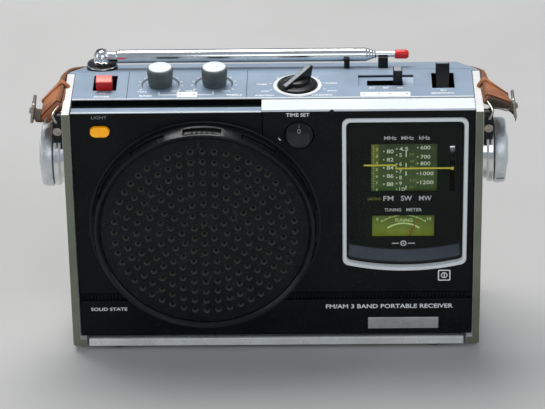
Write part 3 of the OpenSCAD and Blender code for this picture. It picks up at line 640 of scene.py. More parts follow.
def leather_finish(name, colour):
    """Worn leather: pebbled grain, soft creases, darker and rubbed along its edges."""
    net, bsdf = surface(name, colour, [colour[0] * 0.62, colour[1] * 0.55, colour[2] * 0.5],
                        patch=70.0, rough=0.5, spread=0.12)
    where = net.where()
    lay = net.add("ShaderNodeUVMap", uv_map="Lay").outputs[0]
    across = net.add("ShaderNodeSeparateXYZ", {0: lay}).outputs[1]
    off = net.math("ABSOLUTE", net.math("SUBTRACT", across, 0.5))
    blotch = net.noise(where, 190.0, 6.0, 0.7, 0.4)
    worn = net.math("ADD", net.between(off, 0.36, 0.5, smooth=True),
                    net.between(blotch, 0.56, 0.8, 0.0, 0.5))
    old = bsdf.inputs["Base Color"].links[0].from_socket
    dark = net.blend(worn, old, rgba([colour[0] * 0.32, colour[1] * 0.25, colour[2] * 0.25]))
    rub = net.between(net.noise(where, 420.0, 5.0, 0.75), 0.6, 0.74, 0.0, 0.55)
    net.feed(bsdf.inputs["Base Color"],
             net.blend(rub, dark, rgba([min(c * 1.5, 1) for c in colour])))
    cells = net.add("ShaderNodeTexVoronoi", {"Vector": where, "Scale": 1250.0},
                    feature="DISTANCE_TO_EDGE").outputs["Distance"]
    creases = net.noise(net.add("ShaderNodeMapping", {"Vector": where, "Scale": (1, 3.2, 1)}),
                        240.0, 6.0, 0.65, 1.2)
    grain = net.add("ShaderNodeBump", {"Strength": 0.5, "Distance": 0.00018,
                                       "Height": net.between(cells, 0.0, 0.22)})
    folds = net.add("ShaderNodeBump", {"Strength": 0.7, "Distance": 0.0007, "Height": creases,
                                       "Normal": grain.outputs[0]})
    net.feed(bsdf.inputs["Normal"], folds)


def dial_face(name, colour, edge, bright, low, high, painted_glow):
    """Printed dial: lighter towards one end, with a band of another colour on its left, and a
    painted glow from emission though its lamp is off.
    """
    net, bsdf = surface(name, colour, [c * 1.2 for c in colour], patch=220.0, rough=0.45,
                        grain=0.1)
    parts = net.add("ShaderNodeSeparateXYZ", {0: net.where()})
    left = net.between(parts.outputs[0], 0.0598, 0.0600)
    height = net.between(parts.outputs[2], low, high, smooth=True)
    cloud = net.between(net.noise(net.where(), 130.0, 3.0), 0.3, 0.7, 0.82, 1.18)
    base = net.blend(left, rgba(edge), rgba(colour))
    base = net.blend(height, base, rgba(bright))
    shade = net.add("ShaderNodeMix", {0: 1.0, 6: base, 7: cloud}, data_type="RGBA",
                    blend_type="MULTIPLY").outputs[2]
    net.feed(bsdf.inputs["Base Color"], shade)
    net.feed(bsdf.inputs["Emission Color"], shade)
    bsdf.inputs["Emission Strength"].default_value = painted_glow


def cloth_finish(name):
    """Open black weave behind the perforations."""
    net, bsdf = surface(name, (0.010, 0.011, 0.012), rough=0.9, spread=0.05)
    where = net.where()
    threads = [net.add("ShaderNodeTexWave", {"Vector": where, "Scale": 900.0, "Distortion": 0.3},
                       bands_direction=direction).outputs["Fac"] for direction in ("X", "Z")]
    weave = net.math("MAXIMUM", threads[0], threads[1])
    net.feed(bsdf.inputs["Normal"], net.add("ShaderNodeBump", {
        "Strength": 0.8, "Distance": 0.0002, "Height": weave}))


def make_finishes():
    tint = colours()
    black = tuple(tint.cabinet)
    grey = tuple(tint.panel)
    trim = tuple(tint.trim)
    ink = {"patch": 400.0, "rough": 0.6, "grain": 0.1}
    surface("black_front", black, (0.0055, 0.0075, 0.0085), rough=0.30, spread=0.07, grain=0.10,
            grain_scale=2600.0, wave=0.05, wave_scale=35.0, dust=0.06, wear=0.02,
            specular_ior_level=0.12)
    surface("black_rear", (0.012, 0.012, 0.013), (0.017, 0.017, 0.018), rough=0.46, grain=0.55,
            grain_scale=1500.0, dust=0.35, wear=0.15)
    surface("black_gloss", (0.0045, 0.0055, 0.0062), (0.008, 0.009, 0.010), rough=0.30, grain=0.06,
            grain_scale=2400.0, dust=0.08, wear=0.05, specular_ior_level=0.24)
    surface("grille_black", (0.004, 0.005, 0.0058), (0.0065, 0.008, 0.009), patch=110.0, rough=0.38,
            spread=0.10, grain=0.30, grain_scale=2200.0, dust=0.18, wear=0.08,
            specular_ior_level=0.16)
    # brownish grey, much lighter than the grille black, for the hole funnels: painted glints
    surface("funnel_painted_glint", (0.055, 0.050, 0.043), (0.075, 0.068, 0.058), patch=300.0, rough=0.30,
            grain=0.2)
    surface("inside_black", (0.012, 0.012, 0.012), rough=0.7, spread=0.1, grain=0.4)
    cloth_finish("speaker_cloth")
    surface("satin_metal", trim, [c * 0.82 for c in trim], patch=25.0, rough=0.30, spread=0.09,
            metal=0.25, grain=0.18, grain_scale=900.0, brushed=(6.0, 0.05, 1.0), wave=0.04,
            wear=0.12, wear_colour=(0.5, 0.5, 0.46))
    # darker olive copy of the trim metal for the faces that look forwards: painted shade; its
    # brushing and wear are real
    surface("trim_face", (0.215, 0.235, 0.175), (0.165, 0.18, 0.13), patch=25.0, rough=0.42,
            spread=0.09, metal=0.35, grain=0.25, grain_scale=900.0, brushed=(6.0, 1.0, 0.05),
            wear=0.3, wear_colour=(0.10, 0.11, 0.08), specular_ior_level=0.35)
    # pale blue-white base on the silver strip: painted sky reflection
    surface("strip_paint", (0.86, 0.91, 0.96), (0.80, 0.85, 0.91), patch=30.0, rough=0.32,
            metal=0.15, grain=0.12, grain_scale=900.0, brushed=(0.05, 5.0, 5.0), dust=0.05,
            dust_colour=(0.3, 0.3, 0.3))
    surface("panel_paint", grey, [c * 0.86 for c in grey], patch=28.0, rough=0.40, metal=0.20,
            grain=0.16, grain_scale=3000.0, wave=0.05, wave_scale=50.0, dust=0.2,
            dust_colour=(0.62, 0.64, 0.66), wear=0.12, wear_colour=(0.22, 0.26, 0.30))
    surface("panel_line", (0.05, 0.06, 0.07), rough=0.6, grain=0.2)
    # dark blue-grey for the bands round the tone knobs: painted shade
    surface("panel_band", (0.045, 0.06, 0.08), (0.065, 0.08, 0.10), rough=0.5, grain=0.2)
    # pale frame colour of the dial bezel; the same white paints the highlights along the speaker
    # ledge and the top cover's front edge
    surface("bright_rim", (0.90, 0.94, 0.93), (0.88, 0.92, 0.91), patch=60.0, rough=0.30,
            spread=0.07, grain=0.06, grain_scale=1500.0)
    surface("badge_metal", (0.74, 0.75, 0.72), (0.62, 0.63, 0.6), patch=60.0, rough=0.30, metal=0.9,
            grain=0.25, grain_scale=700.0, brushed=(0.06, 5.0, 5.0))
    surface("clear_lens", (0.02, 0.035, 0.03), (0.03, 0.045, 0.04), patch=90.0, rough=0.05,
            spread=0.03, alpha=0.05, ior=1.3)
    surface("well_black", (0.005, 0.007, 0.008), (0.008, 0.010, 0.011), rough=0.34, grain=0.1,
            dust=0.08, specular_ior_level=0.3)
    # blue-grey on the black sill of the dial well: painted sky reflection
    surface("well_sill_painted_sky", (0.045, 0.058, 0.08), (0.065, 0.08, 0.105), rough=0.34, grain=0.12,
            dust=0.2)
    surface("mask_black", (0.0035, 0.0065, 0.0035), (0.005, 0.009, 0.005), rough=0.55, grain=0.05,
            specular_ior_level=0.2)
    green = tuple(tint.scale)
    # both dial cards glow by emission with the lamp off: painted light
    dial_face("dial_green", green, (0.105, 0.11, 0.008), [c * 1.7 for c in green],
              0.124, 0.095, 0.35)
    dial_face("meter_green", (0.05, 0.078, 0.010), (0.05, 0.078, 0.010),
              (0.12, 0.165, 0.018), 0.081, 0.068, 0.6)
    surface("ink_white", (0.93, 0.95, 0.94), (0.84, 0.86, 0.85), patch=500.0, rough=0.55, grain=0.1)
    # emission makes the dial figures glow with the lamp off: painted light
    surface("ink_lit", (0.72, 0.80, 0.62), (0.62, 0.70, 0.52), patch=500.0, rough=0.6, grain=0.1,
            emission_color=(0.7, 0.8, 0.55, 1.0), emission_strength=0.22)
    # emission on the pale green print glows with the lamp off: painted light
    surface("ink_pale_green", (0.62, 0.76, 0.36), (0.5, 0.64, 0.28), **ink,
            emission_color=(0.55, 0.75, 0.25, 1.0), emission_strength=0.3)
    surface("ink_olive", (0.40, 0.42, 0.07), (0.32, 0.34, 0.05), **ink)
    # grey print on the time dial; the same grey paints the highlights on the key tops and the grip,
    # and the shade on the LIGHT word
    surface("ink_grey", (0.30, 0.33, 0.35), (0.24, 0.26, 0.28), **ink)
    surface("ink_dark", (0.03, 0.035, 0.04), **ink)
    # emission makes the pointer glow with the lamp off: painted light
    surface("pointer_yellow", (0.62, 0.55, 0.07), (0.5, 0.45, 0.05), patch=300.0, rough=0.5,
            grain=0.1, emission_color=(0.62, 0.55, 0.05, 1.0), emission_strength=0.25)
    # faint emission on the meter needle: painted light
    surface("needle_red", (0.34, 0.13, 0.03), (0.28, 0.10, 0.03), patch=300.0, rough=0.45,
            grain=0.1, emission_color=(0.5, 0.2, 0.04, 1.0), emission_strength=0.08)
    # emission makes the light button glow, though it is no lamp: painted light
    surface("amber_plastic", tuple(tint.amber), (1.0, 0.52, 0.01), patch=170.0, rough=0.26,
            spread=0.07, grain=0.05, subsurface_weight=0.25, subsurface_scale=0.002,
            emission_color=(1.0, 0.36, 0.002, 1.0), emission_strength=0.3)
    surface("red_plastic", (0.72, 0.010, 0.006), (0.60, 0.008, 0.005), patch=120.0, rough=0.30,
            spread=0.07, grain=0.12, wear=0.12, wear_colour=(0.8, 0.3, 0.25))
    # pale pink on the top of the red power key: painted highlight
    surface("pale_pink", (0.86, 0.20, 0.15), (0.80, 0.10, 0.07), patch=160.0, rough=0.35, grain=0.1)
    surface("knob_grey", (0.135, 0.16, 0.155), (0.105, 0.125, 0.12), patch=90.0, rough=0.36,
            spread=0.09, metal=0.25, grain=0.25, grain_scale=1100.0, brushed=(2.0, 2.0, 0.2),
            dust=0.3)
    surface("knob_cap", (0.92, 0.94, 0.94), (0.84, 0.87, 0.87), patch=80.0, rough=0.34, metal=0.25,
            grain=0.12, grain_scale=1600.0, wear=0.1, wear_colour=(0.6, 0.61, 0.61))
    surface("ring_white", (0.82, 0.83, 0.82), (0.74, 0.75, 0.75), patch=90.0, rough=0.42,
            grain=0.15, dust=0.2, dust_colour=(0.3, 0.3, 0.3))
    surface("turned_metal", (0.78, 0.81, 0.82), (0.66, 0.70, 0.71), patch=140.0, rough=0.42,
            spread=0.1, metal=0.85, grain=0.75, grain_scale=1300.0, wear=0.45,
            wear_colour=(0.36, 0.38, 0.37))
    surface("polished_metal", (0.80, 0.81, 0.80), (0.72, 0.73, 0.72), patch=60.0, rough=0.10,
            spread=0.05, metal=1.0, grain=0.04, grain_scale=1200.0, brushed=(0.1, 4.0, 4.0))
    surface("chrome", (0.82, 0.83, 0.83), (0.74, 0.75, 0.75), patch=90.0, rough=0.12, spread=0.06,
            metal=1.0, grain=0.05, grain_scale=1000.0, brushed=(0.15, 5.0, 5.0), wear=0.25,
            wear_colour=(0.5, 0.49, 0.46))
    surface("buckle_metal", (0.46, 0.44, 0.37), (0.34, 0.32, 0.27), patch=260.0, rough=0.30,
            spread=0.1, metal=1.0, grain=0.25, wear=0.5, wear_colour=(0.16, 0.12, 0.07))
    surface("zinc_steel", (0.56, 0.57, 0.56), (0.44, 0.45, 0.43), patch=200.0, rough=0.34,
            spread=0.1, metal=1.0, grain=0.2, wear=0.3, wear_colour=(0.25, 0.2, 0.13))
    surface("rubber", (0.022, 0.022, 0.022), (0.03, 0.03, 0.03), patch=150.0, rough=0.82,
            spread=0.06, grain=0.6, grain_scale=1500.0, dust=0.6)
    tan = tuple(tint.leather)
    leather_finish("leather", tan)
    surface("leather_edge", [c * 0.5 for c in tan], [c * 0.3 for c in tan], patch=500.0, rough=0.62,
            grain=0.7, grain_scale=1400.0, brushed=(0.3, 0.3, 4.0))
    surface("leather_flesh", (0.035, 0.022, 0.015), (0.075, 0.04, 0.02), patch=240.0, rough=0.85,
            grain=0.9, grain_scale=1500.0, wave=0.3, sheen_weight=0.3)
    surface("thread", (0.40, 0.22, 0.10), (0.28, 0.14, 0.06), patch=900.0, rough=0.75, grain=0.6,
            grain_scale=5000.0)
    surface("cone_paper", (0.03, 0.027, 0.024), (0.04, 0.036, 0.03), patch=200.0, rough=0.85,
            grain=0.8, grain_scale=1500.0)
    surface("magnet_iron", (0.10, 0.10, 0.10), (0.14, 0.14, 0.13), patch=90.0, rough=0.55,
            metal=0.5, grain=0.6)
    surface("board_brown", (0.20, 0.105, 0.035), (0.15, 0.08, 0.03), patch=300.0, rough=0.45,
            grain=0.3, brushed=(3.0, 1.0, 0.4))
    surface("part_bodies", (0.42, 0.40, 0.34), (0.3, 0.28, 0.24), patch=160.0, rough=0.5, grain=0.3)
    surface("drum_plastic", (0.66, 0.65, 0.6), (0.55, 0.54, 0.5), patch=120.0, rough=0.5,
            grain=0.15)
    surface("ferrite", (0.045, 0.045, 0.047), (0.06, 0.06, 0.062), patch=500.0, rough=0.6,
            grain=0.5)
    surface("lamp_glass", (0.16, 0.15, 0.12), (0.12, 0.11, 0.09), patch=200.0, rough=0.1,
            emission_color=(1.0, 0.8, 0.45, 1.0), emission_strength=0.02)
    surface("battery_case", (0.55, 0.42, 0.16), (0.46, 0.35, 0.13), patch=120.0, rough=0.3,
            metal=0.8, grain=0.12, brushed=(0.1, 4.0, 4.0))


KEPT = {
    "inside_black": ["chassis"], "cone_paper": ["speaker_cone"],
    "zinc_steel": ["speaker_basket", "tuning_capacitor"],
    "magnet_iron": ["speaker_magnet", "pointer_rail"], "lamp_glass": ["dial_lamp"],
    "part_bodies": ["control_pots", "lever_switches"], "board_brown": ["circuit_board"],
    "drum_plastic": ["drive_drum"], "ferrite": ["ferrite_rod"], "battery_case": ["batteries"],
}


def give_finish(node, name):
    """Better finish for a frame node that keeps its own shape."""
    piece = frame["nodes"][node]
    if not piece.material_slots:
        raise RuntimeError(f"{node} has no material slot")
    for holder in piece.material_slots:
        holder.material = MATERIALS[name]


# ---------- stage


def look(target, spot):
    return (Vector(target) - Vector(spot)).to_track_quat("-Z", "Y").to_euler()


def area_light(name, spot, target, power, width, depth, colour=(1, 1, 1)):
    data = bpy.data.lights.new(name, "AREA")
    data.shape = "RECTANGLE"
    data.size, data.size_y = width, depth
    data.energy = power
    data.color = colour
    light = bpy.data.objects.new(name, data)
    light.location = spot
    light.rotation_euler = look(target, spot)
    bpy.context.scene.collection.objects.link(light)


def make_stage():
    scene = bpy.context.scene
    camera = bpy.data.cameras.new("camera")
    camera.lens = 196.4
    camera.sensor_width = 36.0
    camera.clip_start = 0.05
    camera.clip_end = 40.0
    view = bpy.data.objects.new("camera", camera)
    scene.collection.objects.link(view)
    view.matrix_world = (Matrix.Translation((0.027378, -1.521895, 0.901089))
                         @ Matrix.Rotation(math.radians(1.09), 4, "Z")
                         @ Matrix.Rotation(math.radians(90 - 28.565), 4, "X")
                         @ Matrix.Rotation(math.radians(-0.972), 4, "Z"))
    scene.camera = view

    bm = bmesh.new()
    bmesh.ops.create_grid(bm, x_segments=8, y_segments=8, size=6.0)
    mesh = bpy.data.meshes.new("floor")
    bm.to_mesh(mesh)
    bm.free()
    floor = bpy.data.objects.new("floor", mesh)
    scene.collection.objects.link(floor)
    surface("floor_paper", (0.50, 0.495, 0.48), (0.46, 0.455, 0.44), patch=3.0, rough=0.85,
            spread=0.05, grain=0.3, grain_scale=900.0)
    mesh.materials.append(MATERIALS["floor_paper"])

    world = bpy.data.worlds.new("studio")
    scene.world = world
    world.use_nodes = True
    sky = world.node_tree.nodes["Background"]
    sky.inputs["Color"].default_value = (0.80, 0.88, 1.0, 1.0)
    sky.inputs["Strength"].default_value = 0.40
    scene.view_settings.view_transform = "Standard"
    middle_z = (CAD_BOX[0][2] + CAD_BOX[1][2]) / 2
    aim = (0, 0, middle_z)
    area_light("key", (-0.25, 0.62, 1.70), aim, sizes().key_light, 1.2, 0.8, (1.0, 0.985, 0.96))
    area_light("front_fill", (0.5, -2.0, 1.3), aim, 7.0, 1.6, 1.0, (0.93, 0.97, 1.0))
    area_light("left_fill", (-1.7, -0.5, 0.7), aim, 3.0, 0.8, 1.2)
    area_light("right_fill", (1.7, -0.3, 0.8), aim, 3.0, 0.8, 1.2)


# ---------- cabinet

TOP = corners("side_trim_left")[1].z
PANEL_Y = corners("dial_panel")[0].y
INNER = corners("chin_panel")[1].x
SPEAKER = middle("speaker_bezel")
FRONT_PRINT = PANEL_Y - 0.02
BEZEL_CLEAR, HOLE_PITCH = 58.2, 6.43


def front_faces_apart(bm):
    """Second material for the faces that look forwards: a darker copy that paints the shade they
    stand in.
    """
    for face in bm.faces:
        if face.normal.y < -0.7:
            face.material_index = 1


def make_cabinet():
    edge = sizes().edge / MM
    # the trims' faces that look forwards take the darker olive copy: painted shade
    for side in ("left", "right"):
        softened(f"side_trim_{side}", f"trim_{side}", ["satin_metal", "trim_face"], edge * 1.2, 3,
                 edit=front_faces_apart)
    softened("bottom_plate", "bottom_strip", "satin_metal", edge, 3)
    for node, name in (("speaker_panel", "speaker_front"), ("dial_panel", "dial_front"),
                       ("chin_panel", "chin_front")):
        softened(node, name, "black_front", edge, 3)
    # the silver strip takes the pale blue-white finish: painted sky reflection
    softened("top_strip", "bright_strip", "strip_paint", edge * 1.3, 3)
    # the top cover's faces that look forwards, into the channel over the ledge, take the cabinet
    # black: painted shade
    softened("top_panel", "top_cover", ["panel_paint", "black_front"], edge, 3,
             edit=front_faces_apart)
    # painted sky reflection: a grey facing on the black ledge over the speaker; and a painted
    # highlight: a bright line along its front edge
    speaker_low, speaker_high = corners("speaker_panel")
    bm = bmesh.new()
    box(bm, (speaker_low.x + 0.4, 3.9, speaker_high.z - 0.2),
        (speaker_high.x - 0.3, 9.7, speaker_high.z + 0.12))
    soften(bm, 0.1, 2)
    close(bm, "ledge_painted_reflection", "panel_paint", slot="grey_panel")
    bm = bmesh.new()
    tube(bm, [(speaker_low.x + 0.3, 3.75, speaker_high.z + 0.02),
              (speaker_high.x - 0.2, 3.75, speaker_high.z + 0.02)], 0.38, 10)
    close(bm, "ledge_painted_highlight", "bright_rim", slot="grey_panel")

    # painted highlight: a bright bead along the front edge of the top cover; and its two joint
    # lines
    low, high = corners("top_panel")
    bm = bmesh.new()
    tube(bm, [(side * (INNER - 0.3), low.y + 0.35, high.z - 0.1) for side in (-1, 1)], 0.5, 10)
    close(bm, "top_cover_painted_highlight", "bright_rim", slot="grey_panel")
    bm = bmesh.new()
    for x in (-82.5, -14.8):
        box(bm, (x - 0.2, low.y + 0.9, high.z - 0.2), (x + 0.2, 54.3, high.z + 0.035))
    box(bm, (-INNER + 0.8, 54.35, high.z - 0.3), (INNER - 0.8, 54.65, high.z + 0.02))
    soften(bm, 0.03, 1)
    close(bm, "top_cover_joints", "panel_line", slot="grey_panel")

    # small catch in the front edge of the bright strip
    bm = bmesh.new()
    lathe(bm, [(0, PANEL_Y - 0.9), (0.9, PANEL_Y - 0.75), (1.3, PANEL_Y - 0.3),
               (1.3, PANEL_Y + 0.5), (0, PANEL_Y + 0.5)], (33.1, 0, TOP - 1.2), "y", 20)
    close(bm, "strip_catch", "black_gloss", slot="gloss_black")

    # rubber feet with a moulded groove
    softened("rubber_feet", "feet", "rubber", 0.5, 3)


def make_ribs():
    """Base bar and rounded ribs on both sides of the speaker."""
    low, high = corners("rib_strip")
    reach = math.sqrt(BEZEL_CLEAR ** 2 - (SPEAKER.z - high.z) ** 2)
    gaps = [(-INNER, SPEAKER.x - reach - 0.6), (SPEAKER.x + reach + 0.6, INNER)]
    bm = bmesh.new()
    for start, end in gaps:
        box(bm, (start, low.y + 1.3, low.z), (end, high.y, high.z))
    soften(bm, 0.15, 1)
    close(bm, "rib_bar", "black_front", stands_for="rib_strip")
    pitch = 2.05
    for label, (start, end) in zip(("left", "right"), gaps):
        bm = bmesh.new()
        prism(bm, half_round(0.62, 1.6, 0.75, -0.75, 6), 0.35, high.z - low.z - 0.35, "z")
        grown(bm, f"ribs_{label}", TREES["row"], {
            "Count": int((end - start - 1.2) / pitch),
            "Start": TO_ROW @ Vector((start + 1.0, low.y - 0.1, low.z)),
            "Step": (pitch * MM, 0, 0)}, "black_front", slot="black_panel")


def make_rear():
    edge = sizes().edge / MM
    softened("rear_cover", "rear_shell", "black_rear", edge * 1.5, 3)
    softened("battery_door", "battery_hatch", "black_rear", edge, 2)
    door_high = corners("battery_door")[1]
    # grip ridges on the hatch
    bm = bmesh.new()
    prism(bm, half_round(1.1, 0.0, 0.0, 0.55, 8), 0, 7.0, "z")
    back = corners("rear_cover")[1].y
    grown(bm, "hatch_grip", TREES["row"], {
        "Count": 12, "Start": TO_ROW @ Vector((-24.2, back - 0.05, door_high.z - 10.5)),
        "Step": (4.4 * MM, 0, 0)}, "black_rear", body="battery_door", slot="black_plastic")
    # cross-slotted screws in the four corners
    for row, z in enumerate((18.5, 128.5)):
        bm = bmesh.new()
        lathe(bm, [(0, -0.4), (3.0, -0.4), (3.0, 0.25), (2.3, 0.85), (1.1, 1.15), (0, 1.2)],
              (0, 0, 0), "y", 28)
        for turn in (0.35, 0.35 + math.pi / 2):
            turned_copy(bm, lambda part: box(part, (-1.7, 0.95, -0.22), (1.7, 1.24, 0.22)),
                        Matrix.Rotation(turn, 4, "Y"))
        stands = {"stands_for": "case_screws"} if row == 0 else {"slot": "zinc_steel"}
        grown(bm, f"case_screws_{row + 1}", TREES["row"], {
            "Count": 2, "Start": TO_ROW @ Vector((-98, back, z)), "Step": (196 * MM, 0, 0)},
            "zinc_steel", **stands)
    # ringed bushes of the two jacks
    bm = bmesh.new()
    for z, bore in ((74, 1.8), (58, 2.8)):
        lathe(bm, [(bore, back - 1.0), (bore + 1.5, back - 1.0), (bore + 1.5, back + 0.25),
                   (bore + 1.2, back + 0.5), (bore + 0.35, back + 0.5), (bore, back + 0.2)],
              (-92, 0, z), "y", 40)
    close(bm, "jack_bushes", "zinc_steel", slot="zinc_steel")
    # slim louvre lips under the vents
    bm = bmesh.new()
    prism(bm, [(-5.2, 0.0), (5.2, 0.0), (5.0, 0.75), (-5.0, 0.75)], -0.9, -0.1, "z")
    soften(bm, 0.2, 2)
    grown(bm, "vent_lips", TREES["row"], {
        "Count": 9, "Start": TO_ROW @ Vector((-64, back - 0.1, 96)), "Step": (16 * MM, 0, 0)},
        "black_rear", slot="black_plastic")


# ---------- speaker


def make_speaker():
    softened("speaker_bezel", "bezel", "black_gloss", 0.25, 2, angle=50)
    softened("speaker_grille", "grille", "grille_black", 0.12, 1, angle=60)
    low, high = corners("speaker_grille")
    radius = (high.x - low.x) / 2
    fall = 2.8
    # funnels that narrow the holes towards the cloth, coloured lighter than the grille: a painted
    # glint in each hole
    depth = sizes().funnel_depth / MM
    bm = bmesh.new()
    lathe(bm, [(0.95, -depth), (1.25, 0.35 - depth), (1.6, -0.12), (1.8, -0.03), (1.9, -0.3),
               (1.9, -0.9), (1.2, -depth - 0.2)], (0, 0, 0), "z", 14)
    inner = fall / 4 / (radius / 2)
    outer = fall * 0.75 / (radius / 2)
    grown(bm, "grille_rims", perforation_tree(sizes().hole_rings), {
        "Pitch": HOLE_PITCH * MM, "Inner slope": inner, "Outer slope": outer,
        "Slope change": radius / 2 * MM,
        "Centre": TO_ROW @ Vector((SPEAKER.x, low.y, SPEAKER.z)),
        "Turn": (math.pi / 2, math.pi / 2, 0)}, "funnel_painted_glint", slot="gloss_black")
    # cloth close behind the perforations
    bm = bmesh.new()
    lathe(bm, [(0, low.y + 1.7), (28, low.y + 2.3), (56.2, low.y + 4.3), (56.2, low.y + 4.6),
               (28, low.y + 2.6), (0, low.y + 2.0)], (SPEAKER.x, 0, SPEAKER.z), "y", 72)
    close(bm, "speaker_cloth", "speaker_cloth", slot="cone_paper")
    # slim bead where the bezel meets the panel
    bm = bmesh.new()
    lathe(bm, [(64.6, PANEL_Y + 0.1), (66.1, PANEL_Y + 0.1), (66.1, PANEL_Y - 0.25),
               (65.7, PANEL_Y - 0.5), (64.9, PANEL_Y - 0.5)],
          (SPEAKER.x, 0, SPEAKER.z), "y", 144)
    close(bm, "bezel_bead", "black_gloss", slot="black_panel")


# ---------- dial


def dial_outline(inset, lift=0.0, count=6):
    """Outline of the dial: round top corners and a base that curves down in the middle."""
    low, high = corners("dial_frame")
    x0, x1, top = low.x + inset, high.x - inset, high.z - inset
    mid, width, sag = (low.x + high.x) / 2, high.x - low.x + 0.2, 4.6
    big = (width * width / 4 + sag * sag) / (2 * sag) - inset
    centre = low.z + inset + lift + big
    r = max(4.0 - inset / 2, 0.8)
    base = math.degrees(math.asin((x1 - r - mid) / (big - r)))
    corner = centre - (big - r) * math.cos(math.radians(base))
    return (arc_points(x1 - r, top - r, r, 0, 90, count)
            + arc_points(x0 + r, top - r, r, 90, 180, count)
            + arc_points(x0 + r, corner, r, 180, 270 - base, count)
            + arc_points(mid, centre, big, 270 - base + 1, 270 + base - 1, 20)
            + arc_points(x1 - r, corner, r, 270 + base, 360, count))


def ring_of_outlines(bm, rings, closed=True):
    """Skin between outlines that each have the same number of points; (outline, y, material)."""
    made = [([bm.verts.new((x, y, z)) for x, z in outline], material)
            for outline, y, material in rings]
    pairs = list(zip(made, made[1:])) + ([(made[-1], made[0])] if closed else [])
    for (a, material), (b, _) in pairs:
        for k in range(len(a)):
            n = (k + 1) % len(a)
            bm.faces.new([a[k], a[n], b[n], b[k]]).material_index = material


def make_dial_case():
    low, high = corners("dial_frame")
    back = high.y
    rim = 2.35
    bm = bmesh.new()
    ring_of_outlines(bm, [
        (dial_outline(0.0), back, 0), (dial_outline(0.0), low.y + 0.7, 0),
        (dial_outline(0.2), low.y + 0.2, 0), (dial_outline(0.7), low.y, 0),
        (dial_outline(rim - 0.8), low.y, 0), (dial_outline(rim - 0.25), low.y + 0.2, 0),
        (dial_outline(rim), low.y + 0.7, 0), (dial_outline(rim), back, 0)])
    close(bm, "dial_bezel", "bright_rim", stands_for="dial_frame")

    well_back = corners("dial_well")[1].y
    bm = bmesh.new()
    ring_of_outlines(bm, [
        (dial_outline(0.1), back, 0), (dial_outline(rim - 0.1), back, 0),
        (dial_outline(rim + 0.2), back + 0.6, 0), (dial_outline(rim + 0.7, 0.8), back + 1.0, 1),
        (dial_outline(rim + 1.6, 5.8), well_back - 0.15, 0),
        (dial_outline(rim + 2.0, 6.1), well_back, 0), (dial_outline(0.1), well_back, 0)])
    well = close(bm, "dial_well_sides", ["well_black", "well_sill_painted_sky"], stands_for="dial_well")
    # only the sill's faces that look upwards keep the blue-grey: painted sky reflection
    for face in well.data.polygons:
        if face.material_index == 1 and face.normal.z < 0.35:
            face.material_index = 0

    softened("dial_mask", "dial_blind", "mask_black", 0.12, 2)
    bm = bmesh.new()
    front = dial_outline(rim + 0.1)
    lens_low, lens_high = corners("dial_lens")
    ring_of_outlines(bm, [(front, lens_high.y, 0), (front, lens_low.y + 0.2, 0),
                          (dial_outline(rim + 0.3), lens_low.y, 0)], closed=False)
    bm.faces.new(bm.verts[:len(front)])
    bm.faces.new(bm.verts[2 * len(front):])
    close(bm, "dial_window", "clear_lens", stands_for="dial_lens")


def pill_outline(x0, z0, x1, z1, count=8):
    return rounded(x0, z0, x1, z1, (z1 - z0) / 2 - 0.01, count)


